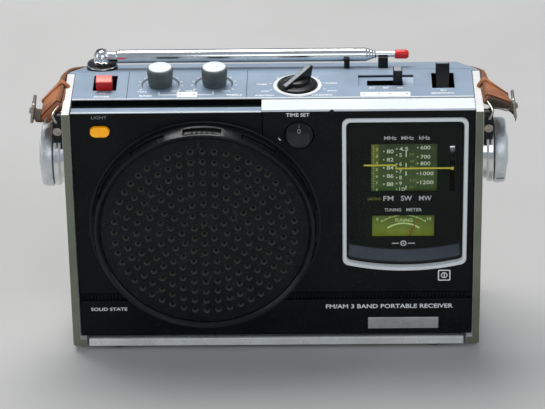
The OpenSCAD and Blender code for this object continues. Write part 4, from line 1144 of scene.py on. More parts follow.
def make_dial_scale():
    softened("scale_plate", "scale_card", "dial_green", 0.12, 1)
    level = corners("scale_plate")[0].y - 0.03
    half = 1.2
    # each column: x of its dots, left edge and width of its figures, and their heights
    columns = (
        (62.5, 64.2, 2.05, [(80 + 2 * k, 119.4 - 5.25 * k) for k in range(5)]),
        (69.8, 71.3, 1.75, [(number, 120.9 - 25.8 * share) for number, share in (
            (4.5, 0.0), (5, 0.15), (6, 0.37), (7, 0.56), (8, 0.71), (9, 0.855), (10, 1.0))]),
        (81.7, 83.3, 1.95, [(number, 121.7 - 27.4 * share) for number, share in (
            (600, 0.0), (700, 0.215), (800, 0.37), (1000, 0.605), (1200, 0.815))]))
    words = [(str(number), left, z - half, left + width * len(str(number)) - 0.3, z + half)
             for _, left, width, figures in columns for number, z in figures]

    def marks(bm):
        for column, _, _, figures in columns:
            for _, z in figures:
                dot(bm, column, z, 0.42, level - 0.03, level + 0.03, "y")
        for top, bottom in ((119.6, 115.8), (111.9, 109.2), (106.6, 103.8), (97.2, 94.9)):
            box(bm, (74.85, level - 0.03, bottom), (75.45, level + 0.03, top))

    lettering("scale_numbers", words, "front", level, "ink_lit", slot="green_scale",
              extra=marks)
    faint = [(f"{metres}", 77.0, z - 0.75, 79.6, z + 0.75)
             for metres, z in ((60, 117.6), (49, 113.0), (41, 109.4), (31, 100.6), (25, 96.4))]

    def brackets(bm):
        for low, high in ((107.5, 114.4), (95.4, 101.6)):
            stroke(bm, [(80.2, high), (80.8, high), (80.8, low), (80.2, low)], 0.18, "front",
                   level)

    lettering("scale_bands", faint, "front", level, "ink_olive", slot="green_scale",
              extra=brackets)
    log = [(str(number), 58.0, z - 0.85, 59.1, z + 0.85)
           for number, z in ((n, 122.4 - 4.3 * (n - 1.6)) for n in range(2, 9))]

    def ticks(bm):
        for k in range(27):
            z = 122.6 - 1.075 * k
            left = 55.6 if k % 4 == 0 else 56.2
            box(bm, (left, level - 0.02, z - 0.09), (57.2, level + 0.02, z + 0.09))

    lettering("scale_log", log, "front", level, "ink_pale_green", slot="green_scale",
              extra=ticks)

    blind = corners("dial_mask")[0].y - 0.02
    heads = [("MHz", 62.6, 127.9, 69.6, 130.2), ("MHz", 72.3, 127.9, 79.3, 130.2),
             ("kHz", 82.4, 127.9, 88.4, 130.3),
             ("FM", 62.3, 88.8, 68.0, 91.9), ("SW", 72.3, 88.7, 78.6, 92.0),
             ("MW", 82.6, 88.8, 89.7, 91.9),
             ("TUNING", 63.0, 81.9, 72.4, 83.9), ("METER", 75.4, 81.9, 84.2, 83.9)]

    def symbol(bm):
        x, zc = 73.9, 61.0
        for side in (-1, 1):
            near, far = sorted((x + side * 2.6, x + side * 6.6))
            box(bm, (near, blind - 0.03, zc - 0.28), (far, blind + 0.03, zc + 0.28))
        lathe(bm, [(1.15, blind - 0.03), (1.8, blind - 0.03), (1.8, blind + 0.03),
                   (1.15, blind + 0.03)], (x, 0, zc), "y", 28)
        dot(bm, x, zc, 0.5, blind - 0.03, blind + 0.03, "y")

    lettering("blind_words", heads, "front", blind, "ink_white", slot="black_panel",
              extra=symbol)
    lettering("blind_scale_word", [("LOG SCALE", 53.4, 89.3, 60.6, 91.0)], "front", blind,
              "ink_olive", slot="black_panel")

    # stepped pointer: a flat strip on its carrier
    def carrier_apart(bm):
        for face in bm.faces:
            face.material_index = int(face.calc_center_median().x > 97.5)

    softened("dial_pointer", "pointer", ["pointer_yellow", "mask_black"], 0.12, 1,
             edit=carrier_apart)


def make_meter():
    softened("meter_housing", "meter_case", "drum_plastic", 0.3, 2)
    face_y = 14.35
    bm = bmesh.new()
    prism(bm, rounded(56.0, 54.2, 91.4, 80.0, 0.8, 4), face_y, face_y + 0.5, "y")
    close(bm, "meter_card", "meter_green", slot="green_scale")
    centre = (73.9, 57.4)
    level = face_y - 0.03

    def arcs(bm):
        def point(radius, angle):
            return (centre[0] + radius * math.sin(math.radians(angle)),
                    centre[1] + radius * math.cos(math.radians(angle)))
        stroke(bm, [point(20.2, a) for a in range(-39, 40, 3)], 0.32, "front", level)
        stroke(bm, [point(14.9, a) for a in range(-38, 39, 2)], 0.85, "front", level)
        for k in range(11):
            angle = -37 + 7.4 * k
            stroke(bm, [point(20.2, angle), point(21.5 if k % 5 == 0 else 21.0, angle)], 0.3,
                   "front", level)

    lettering("meter_print", [("TUNING", 68.8, 73.1, 79.1, 75.4), ("0", 58.4, 74.2, 59.5, 76.0),
                              ("10", 87.6, 74.2, 89.8, 76.0)],
              "front", level, "ink_pale_green", slot="green_scale", extra=arcs)

    softened("meter_needle", "needle", "needle_red", 0.08, 1)


# ---------- front controls


def make_front_controls():
    softened("name_plate", "badge", "badge_metal", 0.25, 3)
    softened("light_button", "light_key", "amber_plastic", 1.1, 4)
    key_low, key_high = corners("light_button")
    bm = bmesh.new()

    def around(out):
        gap = 1.4 - out
        return pill_outline(key_low.x + gap, key_low.z + gap, key_high.x - gap, key_high.z - gap)
    ring_of_outlines(bm, [(around(0.4), PANEL_Y + 0.3, 0), (around(0.45), PANEL_Y - 0.1, 0),
                          (around(0.8), PANEL_Y - 0.32, 0), (around(1.3), PANEL_Y - 0.34, 0),
                          (around(1.9), PANEL_Y - 0.1, 0), (around(2.1), PANEL_Y + 0.3, 0)])
    close(bm, "light_key_surround", "black_front", slot="black_panel")

    softened("time_set_dial", "time_dial", "black_gloss", 0.3, 3)
    dial = middle("time_set_dial")
    bm = bmesh.new()
    lathe(bm, [(8.42, PANEL_Y + 0.4), (8.46, PANEL_Y - 0.1), (8.75, PANEL_Y - 0.35),
               (9.3, PANEL_Y - 0.3), (9.6, PANEL_Y + 0.02), (9.6, PANEL_Y + 0.4)],
          (dial.x, 0, dial.z), "y", 72)
    close(bm, "time_dial_surround", "black_front", slot="black_panel")
    front = corners("time_set_dial")[0].y
    lettering("time_dial_mark", [("0", dial.x - 1.0, dial.z + 1.2, dial.x + 1.0, dial.z + 4.2)],
              "front", front - 0.02, "ink_grey", body="time_set_dial", slot="gloss_black",
              extra=lambda bm: box(bm, (dial.x - 0.15, front - 0.05, dial.z + 5.0),
                                   (dial.x + 0.15, front + 0.02, dial.z + 6.6)))

    lettering("front_words", [
        ("TIME SET", dial.x - 7.2, 146.7, dial.x + 6.0, 149.0),
        ("FM/AM 3 BAND PORTABLE RECEIVER", 29.1, 22.1, 102.4, 24.9),
        ("SOLID STATE", -107.0, 21.6, -86.0, 23.8)],
        "front", FRONT_PRINT, "ink_white", slot="black_panel", bold=0.02,
        extra=lambda bm: stroke(bm, [(3.1, 133.4), (4.3, 131.9)], 0.6, "front", FRONT_PRINT))
    # LIGHT is printed grey instead of white: painted shade
    lettering("light_word", [("LIGHT", -101.6, 146.2, -92.8, 148.1)], "front", FRONT_PRINT,
              "ink_grey", slot="black_panel")

    # plain square mark with a ring in it, under the dial
    bm = bmesh.new()
    x0, z0, x1, z1 = 93.6, 40.2, 100.8, 47.4
    near, far = FRONT_PRINT - 0.04, FRONT_PRINT + 0.04
    outer = rounded(x0, z0, x1, z1, 0.7, 3)
    inner = rounded(x0 + 0.7, z0 + 0.7, x1 - 0.7, z1 - 0.7, 0.4, 3)
    ring_of_outlines(bm, [(outer, near, 0), (inner, near, 0), (inner, far, 0), (outer, far, 0)])
    centre = ((x0 + x1) / 2, 0, (z0 + z1) / 2)
    lathe(bm, [(1.35, near), (1.95, near), (1.95, far), (1.35, far)], centre, "y", 32)
    box(bm, (centre[0] - 0.3, near, centre[2] - 1.4), (centre[0] + 0.3, far, centre[2] + 1.4))
    close(bm, "square_mark", "ink_white", slot="black_panel")


# ---------- top controls

KNOB_Y = middle("bass_knob").y
FUNCTION = middle("function_ring")
BASS_X, TREBLE_X = -64.0, -33.6
LEVER_Y, LEVER_Z = 39.2, 131.0
LEVER_TILT = math.radians(16.5)


def lever_top(node, tilt):
    """Matrix from a lever's own upright frame to its place; z is measured from its pivot."""
    return Matrix.Translation((middle(node).x, LEVER_Y, LEVER_Z)) @ Matrix.Rotation(tilt, 4, "X")


def make_levers():
    softened("power_lever", "power_key", "red_plastic", 0.7, 4)
    softened("sensitivity_lever", "sensitivity_key", "black_gloss", 0.6, 4)
    # pale plates on the tops of the power and sensitivity keys: painted highlights
    for node, name, tilt, half, height, material in (
            ("power_lever", "power_key_painted_highlight", LEVER_TILT, 4.0, 28.0, "pale_pink"),
            ("sensitivity_lever", "sensitivity_key_painted_highlight", -LEVER_TILT, 3.3, 28.6, "ink_grey")):
        bm = bmesh.new()
        prism(bm, rounded(-half, -2.5, half, 2.5, 0.6, 4), height - 0.3, height + 0.12, "z")
        soften(bm, 0.08, 2)
        bm.transform(lever_top(node, tilt))
        close(bm, name, material, body=node, slot=SLOTS[node])
    # arrow on the power key
    bm = bmesh.new()
    stroke(bm, [(-1.3, -0.7), (0, 0.9), (1.3, -0.7)], 0.4, "top", 28.14)
    bm.transform(lever_top("power_lever", LEVER_TILT))
    close(bm, "power_key_arrow", "red_plastic", body="power_lever", slot="red_plastic")
    # thin raised frames round the two lever slots
    bm = bmesh.new()
    for node, half in (("power_lever", 6.8), ("sensitivity_lever", 6.5)):
        x = middle(node).x
        ring_of_outlines_top(bm, rounded(x - half + 0.1, 29.5, x + half - 0.1, 48.9, 0.5, 3),
                             rounded(x - half - 0.6, 28.8, x + half + 0.6, 49.6, 1.0, 3), 0.14)
    close(bm, "lever_slot_frames", "panel_paint", slot="grey_panel")
    softened("band_lever", "band_key", "black_gloss", 0.4, 3)
    # pale grey plate on the top of the band key: painted highlight
    low, high = corners("band_lever")
    bm = bmesh.new()
    prism(bm, rounded(low.x + 0.5, low.y + 0.5, high.x - 0.5, high.y - 0.5, 0.5, 3),
          high.z - 0.2, high.z + 0.12, "z")
    soften(bm, 0.08, 2)
    close(bm, "band_key_painted_highlight", "ink_grey", body="band_lever", slot="gloss_black")


def ring_of_outlines_top(bm, inner, outer, height):
    """Low flat ring on the top cover between two outlines."""
    levels = [(outer, TOP - 0.2), (outer, TOP + height * 0.6),
              ([(a[0] * 0.8 + b[0] * 0.2, a[1] * 0.8 + b[1] * 0.2)
                for a, b in zip(outer, inner)], TOP + height),
              (inner, TOP + height), (inner, TOP - 0.2)]
    rings = [[bm.verts.new((x, y, z)) for x, y in outline] for outline, z in levels]
    for a, b in zip(rings, rings[1:] + rings[:1]):
        for k in range(len(a)):
            n = (k + 1) % len(a)
            bm.faces.new([a[k], a[n], b[n], b[k]])


def make_tone_knobs():
    for node, name in (("bass_knob", "bass_cap"), ("treble_knob", "treble_cap")):
        x, base, top = middle(node).x, TOP + 0.5, corners(node)[1].z
        bm = bmesh.new()
        lathe(bm, [(0, base), (6.3, base), (6.55, base + 0.35), (7.28, top - 1.5),
                   (7.3, top - 1.0), (7.05, top - 0.62), (6.6, top - 0.6), (0, top - 0.6)],
              (x, KNOB_Y, 0), "z", 96)
        lathe(bm, [(0, top - 0.75), (6.5, top - 0.75), (6.5, top - 0.15), (6.2, top + 0.05),
                   (5.2, top + 0.08), (5.1, top - 0.04), (4.9, top - 0.04), (4.8, top + 0.06),
                   (0, top + 0.12)], (x, KNOB_Y, 0), "z", 72, 1)
        stem(bm, x, KNOB_Y, base)
        # flat that marks the knob's position
        flat_at = 38
        facing = Matrix.Rotation(math.radians(flat_at), 3, "Z") @ Vector((1, 0, 0))
        cut = bmesh.ops.bisect_plane(
            bm, geom=[*bm.verts, *bm.edges, *bm.faces], dist=0.0001,
            plane_co=Vector((x, KNOB_Y, 0)) + facing * 6.1, plane_no=facing, clear_outer=True)
        rim = [e for e in cut["geom_cut"] if isinstance(e, bmesh.types.BMEdge)]
        bmesh.ops.holes_fill(bm, edges=rim, sides=0)
        close(bm, name, ["knob_grey", "knob_cap"], stands_for=node, sharp=28)
        # fine upright ribs round the body
        bm = bmesh.new()
        prism(bm, [(-0.3, -0.17), (0.0, -0.17), (0.22, 0.0), (0.0, 0.17), (-0.3, 0.17)],
              0.0, 7.6, "z")
        bm.transform(Matrix.Rotation(math.radians(4.4), 4, "Y"))
        count = 76
        ring_of(bm, name + "_ribs", (x, KNOB_Y, base + 0.9), 6.6, count, flat_at + 31,
                300 / count, "knob_grey", body=node, slot=SLOTS[node])


def make_function_knob():
    x, y = FUNCTION.x, FUNCTION.y
    base = TOP + 0.5
    turn = Matrix.Translation((x, y, 0)) @ Matrix.Rotation(math.radians(45), 4, "Z")
    bm = bmesh.new()
    lathe(bm, [(0, base), (11.1, base), (11.3, base + 0.25), (11.3, base + 1.1),
               (10.9, base + 1.5), (9.3, base + 1.75), (9.0, base + 1.5), (6.4, base + 2.0),
               (6.2, base + 3.6), (5.6, base + 4.0), (0, base + 4.0)], (x, y, 0), "z", 96)
    stem(bm, x, y, base)

    def wing(part):
        outline = [(-11.1, base + 1.4), (8.6, base + 1.4), (9.6, base + 3.2),
                   (11.0, base + 9.2), (9.9, base + 9.6), (4.0, base + 7.4),
                   (-10.2, base + 3.2), (-11.1, base + 2.6)]
        prism(part, outline, -1.75, 1.75, "y")
        soften(part, 0.4, 3)
    turned_copy(bm, wing, turn)
    close(bm, "function_grip", "black_gloss", stands_for="function_knob", sharp=40)
    # painted highlight: a pale line along the top edge of the grip
    bm = bmesh.new()
    path = [(9.7, base + 9.62), (4.0, base + 7.46), (-10.1, base + 3.26)]
    upper = [(a, b + 0.06) for a, b in path]
    prism(bm, path + list(reversed(upper)), -1.25, 1.25, "y")
    bm.transform(turn)
    close(bm, "function_grip_painted_highlight", "ink_grey", body="function_knob", slot="gloss_black")
    softened("function_ring", "function_scale_ring", "ring_white", 0.15, 2)


def make_top_prints():
    level = TOP + 0.03

    def lines(bm):
        # bracket between the two tone knobs with a plain box in its middle
        stroke(bm, [(-64.4, 27.7), (-64.3, 23.8), (-54.1, 23.8)], 0.62, "top", level)
        stroke(bm, [(-42.8, 23.8), (-33.7, 23.6), (-33.9, 28.3)], 0.62, "top", level)
        box(bm, (-54.2, 21.0, level - 0.03), (-42.7, 27.3, level + 0.03))
        box(bm, (49.4, 20.2, level - 0.03), (77.6, 25.3, level + 0.03))
        for x in (BASS_X, TREBLE_X):
            for k in range(-5, 6):
                angle = math.radians(90 + k * 24)
                near, far = 11.9, (13.4 if k % 5 == 0 else 12.9)
                stroke(bm, [(x + near * math.cos(angle), KNOB_Y + near * math.sin(angle)),
                            (x + far * math.cos(angle), KNOB_Y + far * math.sin(angle))],
                       0.55, "top", level)
        for k in range(8):
            angle = math.radians(-14 + k * 30)
            if 60 < math.degrees(angle) < 115:
                continue
            stroke(bm, [(FUNCTION.x + r * math.cos(angle), FUNCTION.y + r * math.sin(angle))
                        for r in (14.9, 16.6)], 0.45, "top", level)
        stroke(bm, [(95.2, 27.1), (98.0, 27.1)], 0.5, "top", level)
        stroke(bm, [(-98.0, 27.0), (-95.2, 27.0)], 0.5, "top", level)

    words = [("POWER", -101.0, 21.2, -92.0, 22.9), ("ON", -98.4, 25.9, -94.8, 27.6),
             ("SENSITIVITY", 89.2, 22.4, 102.4, 24.1), ("DX", 94.8, 26.0, 98.2, 27.7),
             ("MIN", -76.6, 27.2, -71.6, 28.7), ("MAX", -57.8, 28.0, -52.8, 29.5),
             ("MIN", -49.4, 27.8, -44.4, 29.3), ("MAX", -29.0, 27.5, -24.0, 29.0),
             ("BASS", -75.4, 22.0, -68.4, 23.7), ("TREBLE", -26.4, 22.3, -17.2, 24.0),
             ("FM", 54.6, 29.5, 57.6, 31.1), ("SW", 62.4, 29.5, 65.6, 31.1),
             ("MW", 70.2, 29.5, 73.8, 31.1),
             ("OFF", -6.6, 26.6, -2.2, 28.1), ("AUTO", 30.6, 26.6, 36.2, 28.1),
             ("TIMER", -9.6, 35.6, -3.2, 37.1), ("RADIO", 30.2, 36.4, 36.6, 37.9),
             ("FUNCTION", -9.8, 21.4, 0.6, 23.0), ("LOUDNESS", 22.0, 21.4, 33.6, 23.0)]
    lettering("top_words", words, "top", level, "ink_white", slot="grey_panel", bold=0.03,
              extra=lines)

    bm = bmesh.new()
    for x, y in ((-52.3, 24.1), (-44.6, 24.1), (51.2, 22.8), (60.0, 22.8), (66.0, 22.8),
                 (75.8, 22.8)):
        dot(bm, x, y, 0.55, level + 0.02, level + 0.07, "z")
    close(bm, "top_dots", "ink_dark", slot="grey_panel")

    # painted shade: dark bands that sweep round the rear of the tone knobs
    bm = bmesh.new()
    for x in (BASS_X, TREBLE_X):
        points = arc_points(x, KNOB_Y, 10.4, -22, 202, 40)
        count = len(points) - 1
        outline_in, outline_out = [], []
        for k, (a, b) in enumerate(points):
            half = 0.15 + 1.05 * math.sin(math.pi * min(k, count - k) / count)
            away = Vector((a - x, b - KNOB_Y)).normalized()
            outline_in.append((a - away.x * half, b - away.y * half))
            outline_out.append((a + away.x * half, b + away.y * half))
        prism(bm, outline_in + list(reversed(outline_out)), level - 0.04, level + 0.01, "z")
    close(bm, "tone_knob_painted_shade", "panel_band", slot="grey_panel")

    # raised lip round the band lever's recess
    bm = bmesh.new()
    ring_of_outlines_top(bm, rounded(48.4, 33.1, 79.9, 46.9, 0.6, 3),
                         rounded(47.7, 32.4, 80.6, 47.6, 1.1, 3), 0.12)
    close(bm, "band_recess_lip", "panel_paint", slot="grey_panel")


# ---------- side knobs


def make_side_knobs():
    for node, name, side, mark in (("volume_knob", "volume_wheel", -1, "ink_white"),
                                   ("tuning_knob", "tuning_wheel", 1, "ink_dark")):
        low, high = corners(node)
        cad = middle(node)
        radius = (high.z - low.z) / 2
        inner, outer = 125.1, max(abs(low.x), abs(high.x)) - 1.5
        t = outer - inner
        shaft = min(abs(low.x), abs(high.x))
        profile = [(0, inner), (radius - 1.1, inner), (radius - 0.35, inner + 0.35),
                   (radius, inner + 1.1), (radius - 0.25, inner + t - 1.5),
                   (radius - 0.6, inner + t - 0.7), (radius - 1.5, inner + t - 0.1),
                   (radius - 3.0, inner + t), (10.4, inner + t - 0.25), (9.6, inner + t - 0.1),
                   (9.3, inner + t + 0.9), (8.7, inner + t + 1.3), (5.0, inner + t + 1.45),
                   (0, inner + t + 1.5)]
        bm = bmesh.new()
        centre = (0, cad.y, cad.z)
        lathe(bm, [(r, side * x) for r, x in profile], centre, "x", 120)
        lathe(bm, [(0, side * shaft), (3.0, side * shaft), (3.0, side * (inner + 0.3)),
                   (0, side * (inner + 0.3))], centre, "x", 28)
        close(bm, name, "turned_metal", stands_for=node, sharp=32)
        # index line across the rim
        bm = bmesh.new()
        angle = math.radians(148 if side < 0 else 214)
        box(bm, (inner + 0.9, radius - 0.3, -0.35), (inner + t - 1.3, radius + 0.03, 0.35))
        soften(bm, 0.1, 1)
        bm.transform(Matrix.Translation((0, cad.y, cad.z)) @ Matrix.Rotation(angle, 4, "X"))
        if side < 0:
            bm.transform(Matrix.Scale(-1, 4, (1, 0, 0)))
        close(bm, name + "_index", mark, body=node, slot="turned_aluminium")
        # turned grooves on the face
        bm = bmesh.new()
        for ring in range(5):
            r = 11.2 + ring * 1.15
            lathe(bm, [(r - 0.16, side * (inner + t - 0.35)), (r, side * (inner + t + 0.06)),
                       (r + 0.16, side * (inner + t - 0.35))], centre, "x", 90)
        close(bm, name + "_turning", "polished_metal", body=node, slot="turned_aluminium")
    bm = bmesh.new()
    for side in (-1, 1):
        profile = [(4, 118.0), (16.6, 118.0), (16.6, 120.6), (16.9, 121.0),
                   (17.9, 121.3), (18.35, 121.9), (18.35, 124.0), (17.9, 124.6),
                   (16.0, 124.7), (4, 124.7)]
        lathe(bm, [(r, side * x) for r, x in profile], (0, 26.0, middle("volume_knob").z),
              "x", 120)
    close(bm, "collars", "polished_metal", stands_for="knob_collars", sharp=32)


# ---------- antenna


def make_antenna():
    y, z = middle("antenna_tube").y, middle("antenna_rod").z
    start = corners("antenna_tube")[0].x

    def shell(node, bore, end_x, from_x, neck):
        low, high = corners(node)
        r = (high.y - low.y) / 2 if node != "antenna_tube" else 4.0
        roll = [(r, end_x - 1.3), (r - 0.12, end_x - 0.6), (bore + 0.12, end_x),
                (bore, end_x - 0.3)]
        bm = bmesh.new()
        if neck:
            front = [(0, from_x), (2.5, from_x), (2.9, from_x + 0.5), (2.9, from_x + 5.2),
                     (3.3, from_x + 5.9), (r - 0.1, from_x + 6.4), (r, from_x + 7.0)]
        else:
            front = [(0, from_x), (r - 0.15, from_x), (r, from_x + 0.2)]
        lathe(bm, front + roll + [(bore, from_x + 8.0), (0, from_x + 8.0)], (0, y, z), "x", 48)
        return bm

    tube_bm = shell("antenna_tube", 3.5, 54.1, start + 5.4, True)
    # tongue and pivot pin with domed ends
    pivot = middle("antenna_knuckle")
    box(tube_bm, (pivot.x, y - 1.5, z - 2.6), (start + 9.0, y + 1.5, z + 2.6))
    lathe(tube_bm, [(0, y - 1.5), (2.6, y - 1.5), (2.6, y + 1.5), (0, y + 1.5)],
          (pivot.x, 0, z), "y", 32)
    lathe(tube_bm, [(0, y - 5.2), (0.9, y - 5.1), (1.5, y - 4.75), (1.5, y - 4.5), (0.95, y - 4.5),
                    (0.95, y + 4.5), (1.5, y + 4.5), (1.5, y + 4.75), (0.9, y + 5.1), (0, y + 5.2)],
          (pivot.x, 0, z), "y", 24)
    close(tube_bm, "antenna_outer", "chrome", stands_for="antenna_tube", sharp=30)
    for k, (node, bore) in enumerate((("antenna_section_2", 2.93), ("antenna_section_3", 2.36),
                                      ("antenna_section_4", 1.79))):
        low, high = corners(node)
        bm = shell(node, bore, high.x + 0.9 + 0.8 * k, low.x, False)
        close(bm, f"antenna_stage_{k + 2}", "chrome", stands_for=node, sharp=30)
    low, high = corners("antenna_rod")
    tip = high.x - 8.2
    bm = bmesh.new()
    lathe(bm, [(0, low.x), (1.6, low.x), (1.72, low.x + 0.3), (1.72, tip + 0.3), (0, tip + 0.3)],
          (0, y, z), "x", 28)
    close(bm, "antenna_inner_rod", "chrome", stands_for="antenna_rod", slot="chrome_tube")
    bm = bmesh.new()
    lathe(bm, [(0, tip), (2.1, tip), (2.55, tip + 0.5), (2.65, tip + 1.2), (2.65, tip + 6.2),
               (2.45, tip + 7.1), (1.8, tip + 7.9), (0, tip + 8.2)], (0, y, z), "x", 40)
    close(bm, "antenna_tip", "red_plastic", body="antenna_rod", slot="red_plastic")

    softened("antenna_knuckle", "antenna_ball", "chrome", 0.3, 2, angle=50)
    softened("antenna_seat", "antenna_foot", "black_gloss", 0.35, 3)
    seat = middle("antenna_seat")
    # painted highlight: a chrome ring on the rim of the black antenna foot
    bm = bmesh.new()
    lathe(bm, [(8.3, TOP + 0.35), (8.7, TOP + 0.3), (8.9, TOP + 0.5), (8.8, TOP + 0.75),
               (8.5, TOP + 0.8), (8.3, TOP + 0.65)], (seat.x, seat.y, 0), "z", 72)
    close(bm, "antenna_foot_painted_highlight", "chrome", slot="chrome_tube")
    softened("antenna_cradles", "antenna_rests", "black_gloss", 0.45, 3)


# ---------- strap

# Middle of the strap (x, y, z) and the lean of its width in degrees from level,
# from each lug to the middle of the back, in cabinet millimetres
RIGHT_STRAP = [
    (126.6, 15, 150.6, 24), (125.8, 22, 150.5, 25), (125.4, 29, 149.8, 32),
    (124.2, 38, 147.2, 50), (122.4, 49, 143.4, 74), (120.4, 60, 139, 88), (116.6, 70, 136, 90),
    (110, 79, 133, 90), (100, 85.6, 131.4, 90), (88, 88.6, 130.4, 90), (72, 90, 129, 90),
    (50, 90.6, 127, 90), (26, 91, 125, 90), (0, 91, 124, 90)]
LEFT_STRAP = [
    (125.2, 14, 147.2, 48), (124.8, 22, 147.8, 44), (124.6, 32, 147.4, 44), (124, 42, 146, 54),
    (122.8, 51, 143.6, 68), (120.8, 60, 140.4, 82), (117, 70, 137.6, 90), (110, 79, 134.4, 90),
    (100, 85.6, 132, 90), (88, 88.6, 130, 90), (72, 90, 128, 90), (50, 90.6, 126, 90),
    (26, 91, 124.6, 90), (0, 91, 124, 90)]
STRAP_W, STRAP_T = 16.0, 2.4
BUCKLE_TILT = math.radians(-8)


def curve_weights(u):
    """Weights of four points in a row, for a smooth curve from the second to the third."""
    return (((-u + 2) * u - 1) * u / 2, ((3 * u - 5) * u * u + 2) / 2,
            ((-3 * u + 4) * u + 1) * u / 2, (u - 1) * u * u / 2)


def strap_frames(steps=7):
    """Points, ahead, across and outward directions along the whole strap, right to left."""
    line = ([(Vector(p[:3]), p[3], 1) for p in RIGHT_STRAP]
            + [(Vector((-p[0], p[1], p[2])), p[3], -1) for p in reversed(LEFT_STRAP[:-1])])
    spots = []
    for k in range(len(line) - 1):
        p = [line[max(min(k + d, len(line) - 1), 0)] for d in (-1, 0, 1, 2)]
        for s in range(steps):
            w = curve_weights(s / steps)
            spot = sum((p[i][0] * w[i] for i in range(4)), Vector())
            lean = sum(p[i][1] * w[i] for i in range(4))
            spots.append((spot, math.radians(lean), line[k][2]))
    spots.append((line[-1][0], math.radians(line[-1][1]), line[-1][2]))
    frames = []
    for k, (spot, lean, side) in enumerate(spots):
        ahead = (spots[min(k + 1, len(spots) - 1)][0] - spots[max(k - 1, 0)][0]).normalized()
        across = Vector((side * math.cos(lean), 0, -math.sin(lean)))
        across = (across - ahead * across.dot(ahead)).normalized()
        outward = -ahead.cross(across)
        frames.append((spot, ahead, across, outward.normalized()))
    return frames


def strap_section(width, thick, crown=0.35):
    """Half-width and height pairs round the strap's rounded section; with material numbers."""
    half, t = width / 2, thick / 2
    top = [(-half + 0.9 + (width - 1.8) * k / 8, t + crown * (1 - (abs(k - 4) / 4) ** 2))
           for k in range(9)]
    edge = [(half - 0.25, t * 0.62), (half, 0.0), (half - 0.25, -t * 0.62)]
    under = [(half - 0.9 - (width - 1.8) * k / 4, -t) for k in range(5)]
    other = [(-a, -b) for a, b in edge]
    points = top + edge + under + other
    return points, [0] * 8 + [1] * 4 + [2] * 4 + [1] * 4


def strap_skin(bm, frames, width, thick, crown=0.35, ripple=0.0):
    """Skin a strap along frames, with a UV map that follows its length and width."""
    lay = bm.loops.layers.uv.get("Lay") or bm.loops.layers.uv.new("Lay")
    points, kinds = strap_section(width, thick, crown)
    rings, run, length = [], [], 0.0
    for k, (spot, _, across, outward) in enumerate(frames):
        if k:
            length += (spot - frames[k - 1][0]).length
        run.append(length)
        sway = ripple * (math.sin(length * 0.19) + 0.6 * math.sin(length * 0.07 + 1.3))
        rings.append([bm.verts.new(spot + across * a
                                   + outward * (b + sway * (0.35 + 0.65 * abs(a) / (width / 2))))
                      for a, b in points])
    count = len(points)
    for k in range(len(rings) - 1):
        for j in range(count):
            n = (j + 1) % count
            face = bm.faces.new([rings[k][j], rings[k][n], rings[k + 1][n], rings[k + 1][j]])
            face.material_index = kinds[j]
            spread = [(points[i][0] + width / 2) / width for i in (j, n, n, j)]
            for loop, v, u in zip(face.loops, spread, (run[k], run[k], run[k + 1], run[k + 1])):
                loop[lay].uv = (u * MM, v)
    for ring in (rings[0], rings[-1]):
        face = bm.faces.new(ring)
        face.material_index = 1
        for loop in face.loops:
            loop[lay].uv = (0, 0)


def returned(frames, gap, reach):
    """Frames of the strap's end: round the fold at a lug and back under the strap."""
    spot, ahead, across, outward = frames[0]
    back = []
    radius = gap / 2
    for k in range(1, 9):
        angle = math.pi * k / 9
        back.append((spot - ahead * radius * math.sin(angle)
                     - outward * radius * (1 - math.cos(angle)), across))
    far = 0.0
    for k in range(len(frames)):
        if k:
            far += (frames[k][0] - frames[k - 1][0]).length
        if far > reach:
            break
        ease = gap + (STRAP_T + 0.25 - gap) * min(far / 9.0, 1.0)
        back.append((frames[k][0] - frames[k][3] * ease, frames[k][2]))
    made = []
    for k, (point, side) in enumerate(back):
        run = (back[min(k + 1, len(back) - 1)][0] - back[max(k - 1, 0)][0]).normalized()
        side = (side - run * side.dot(run)).normalized()
        made.append((point, run, side, -run.cross(side).normalized()))
    return made


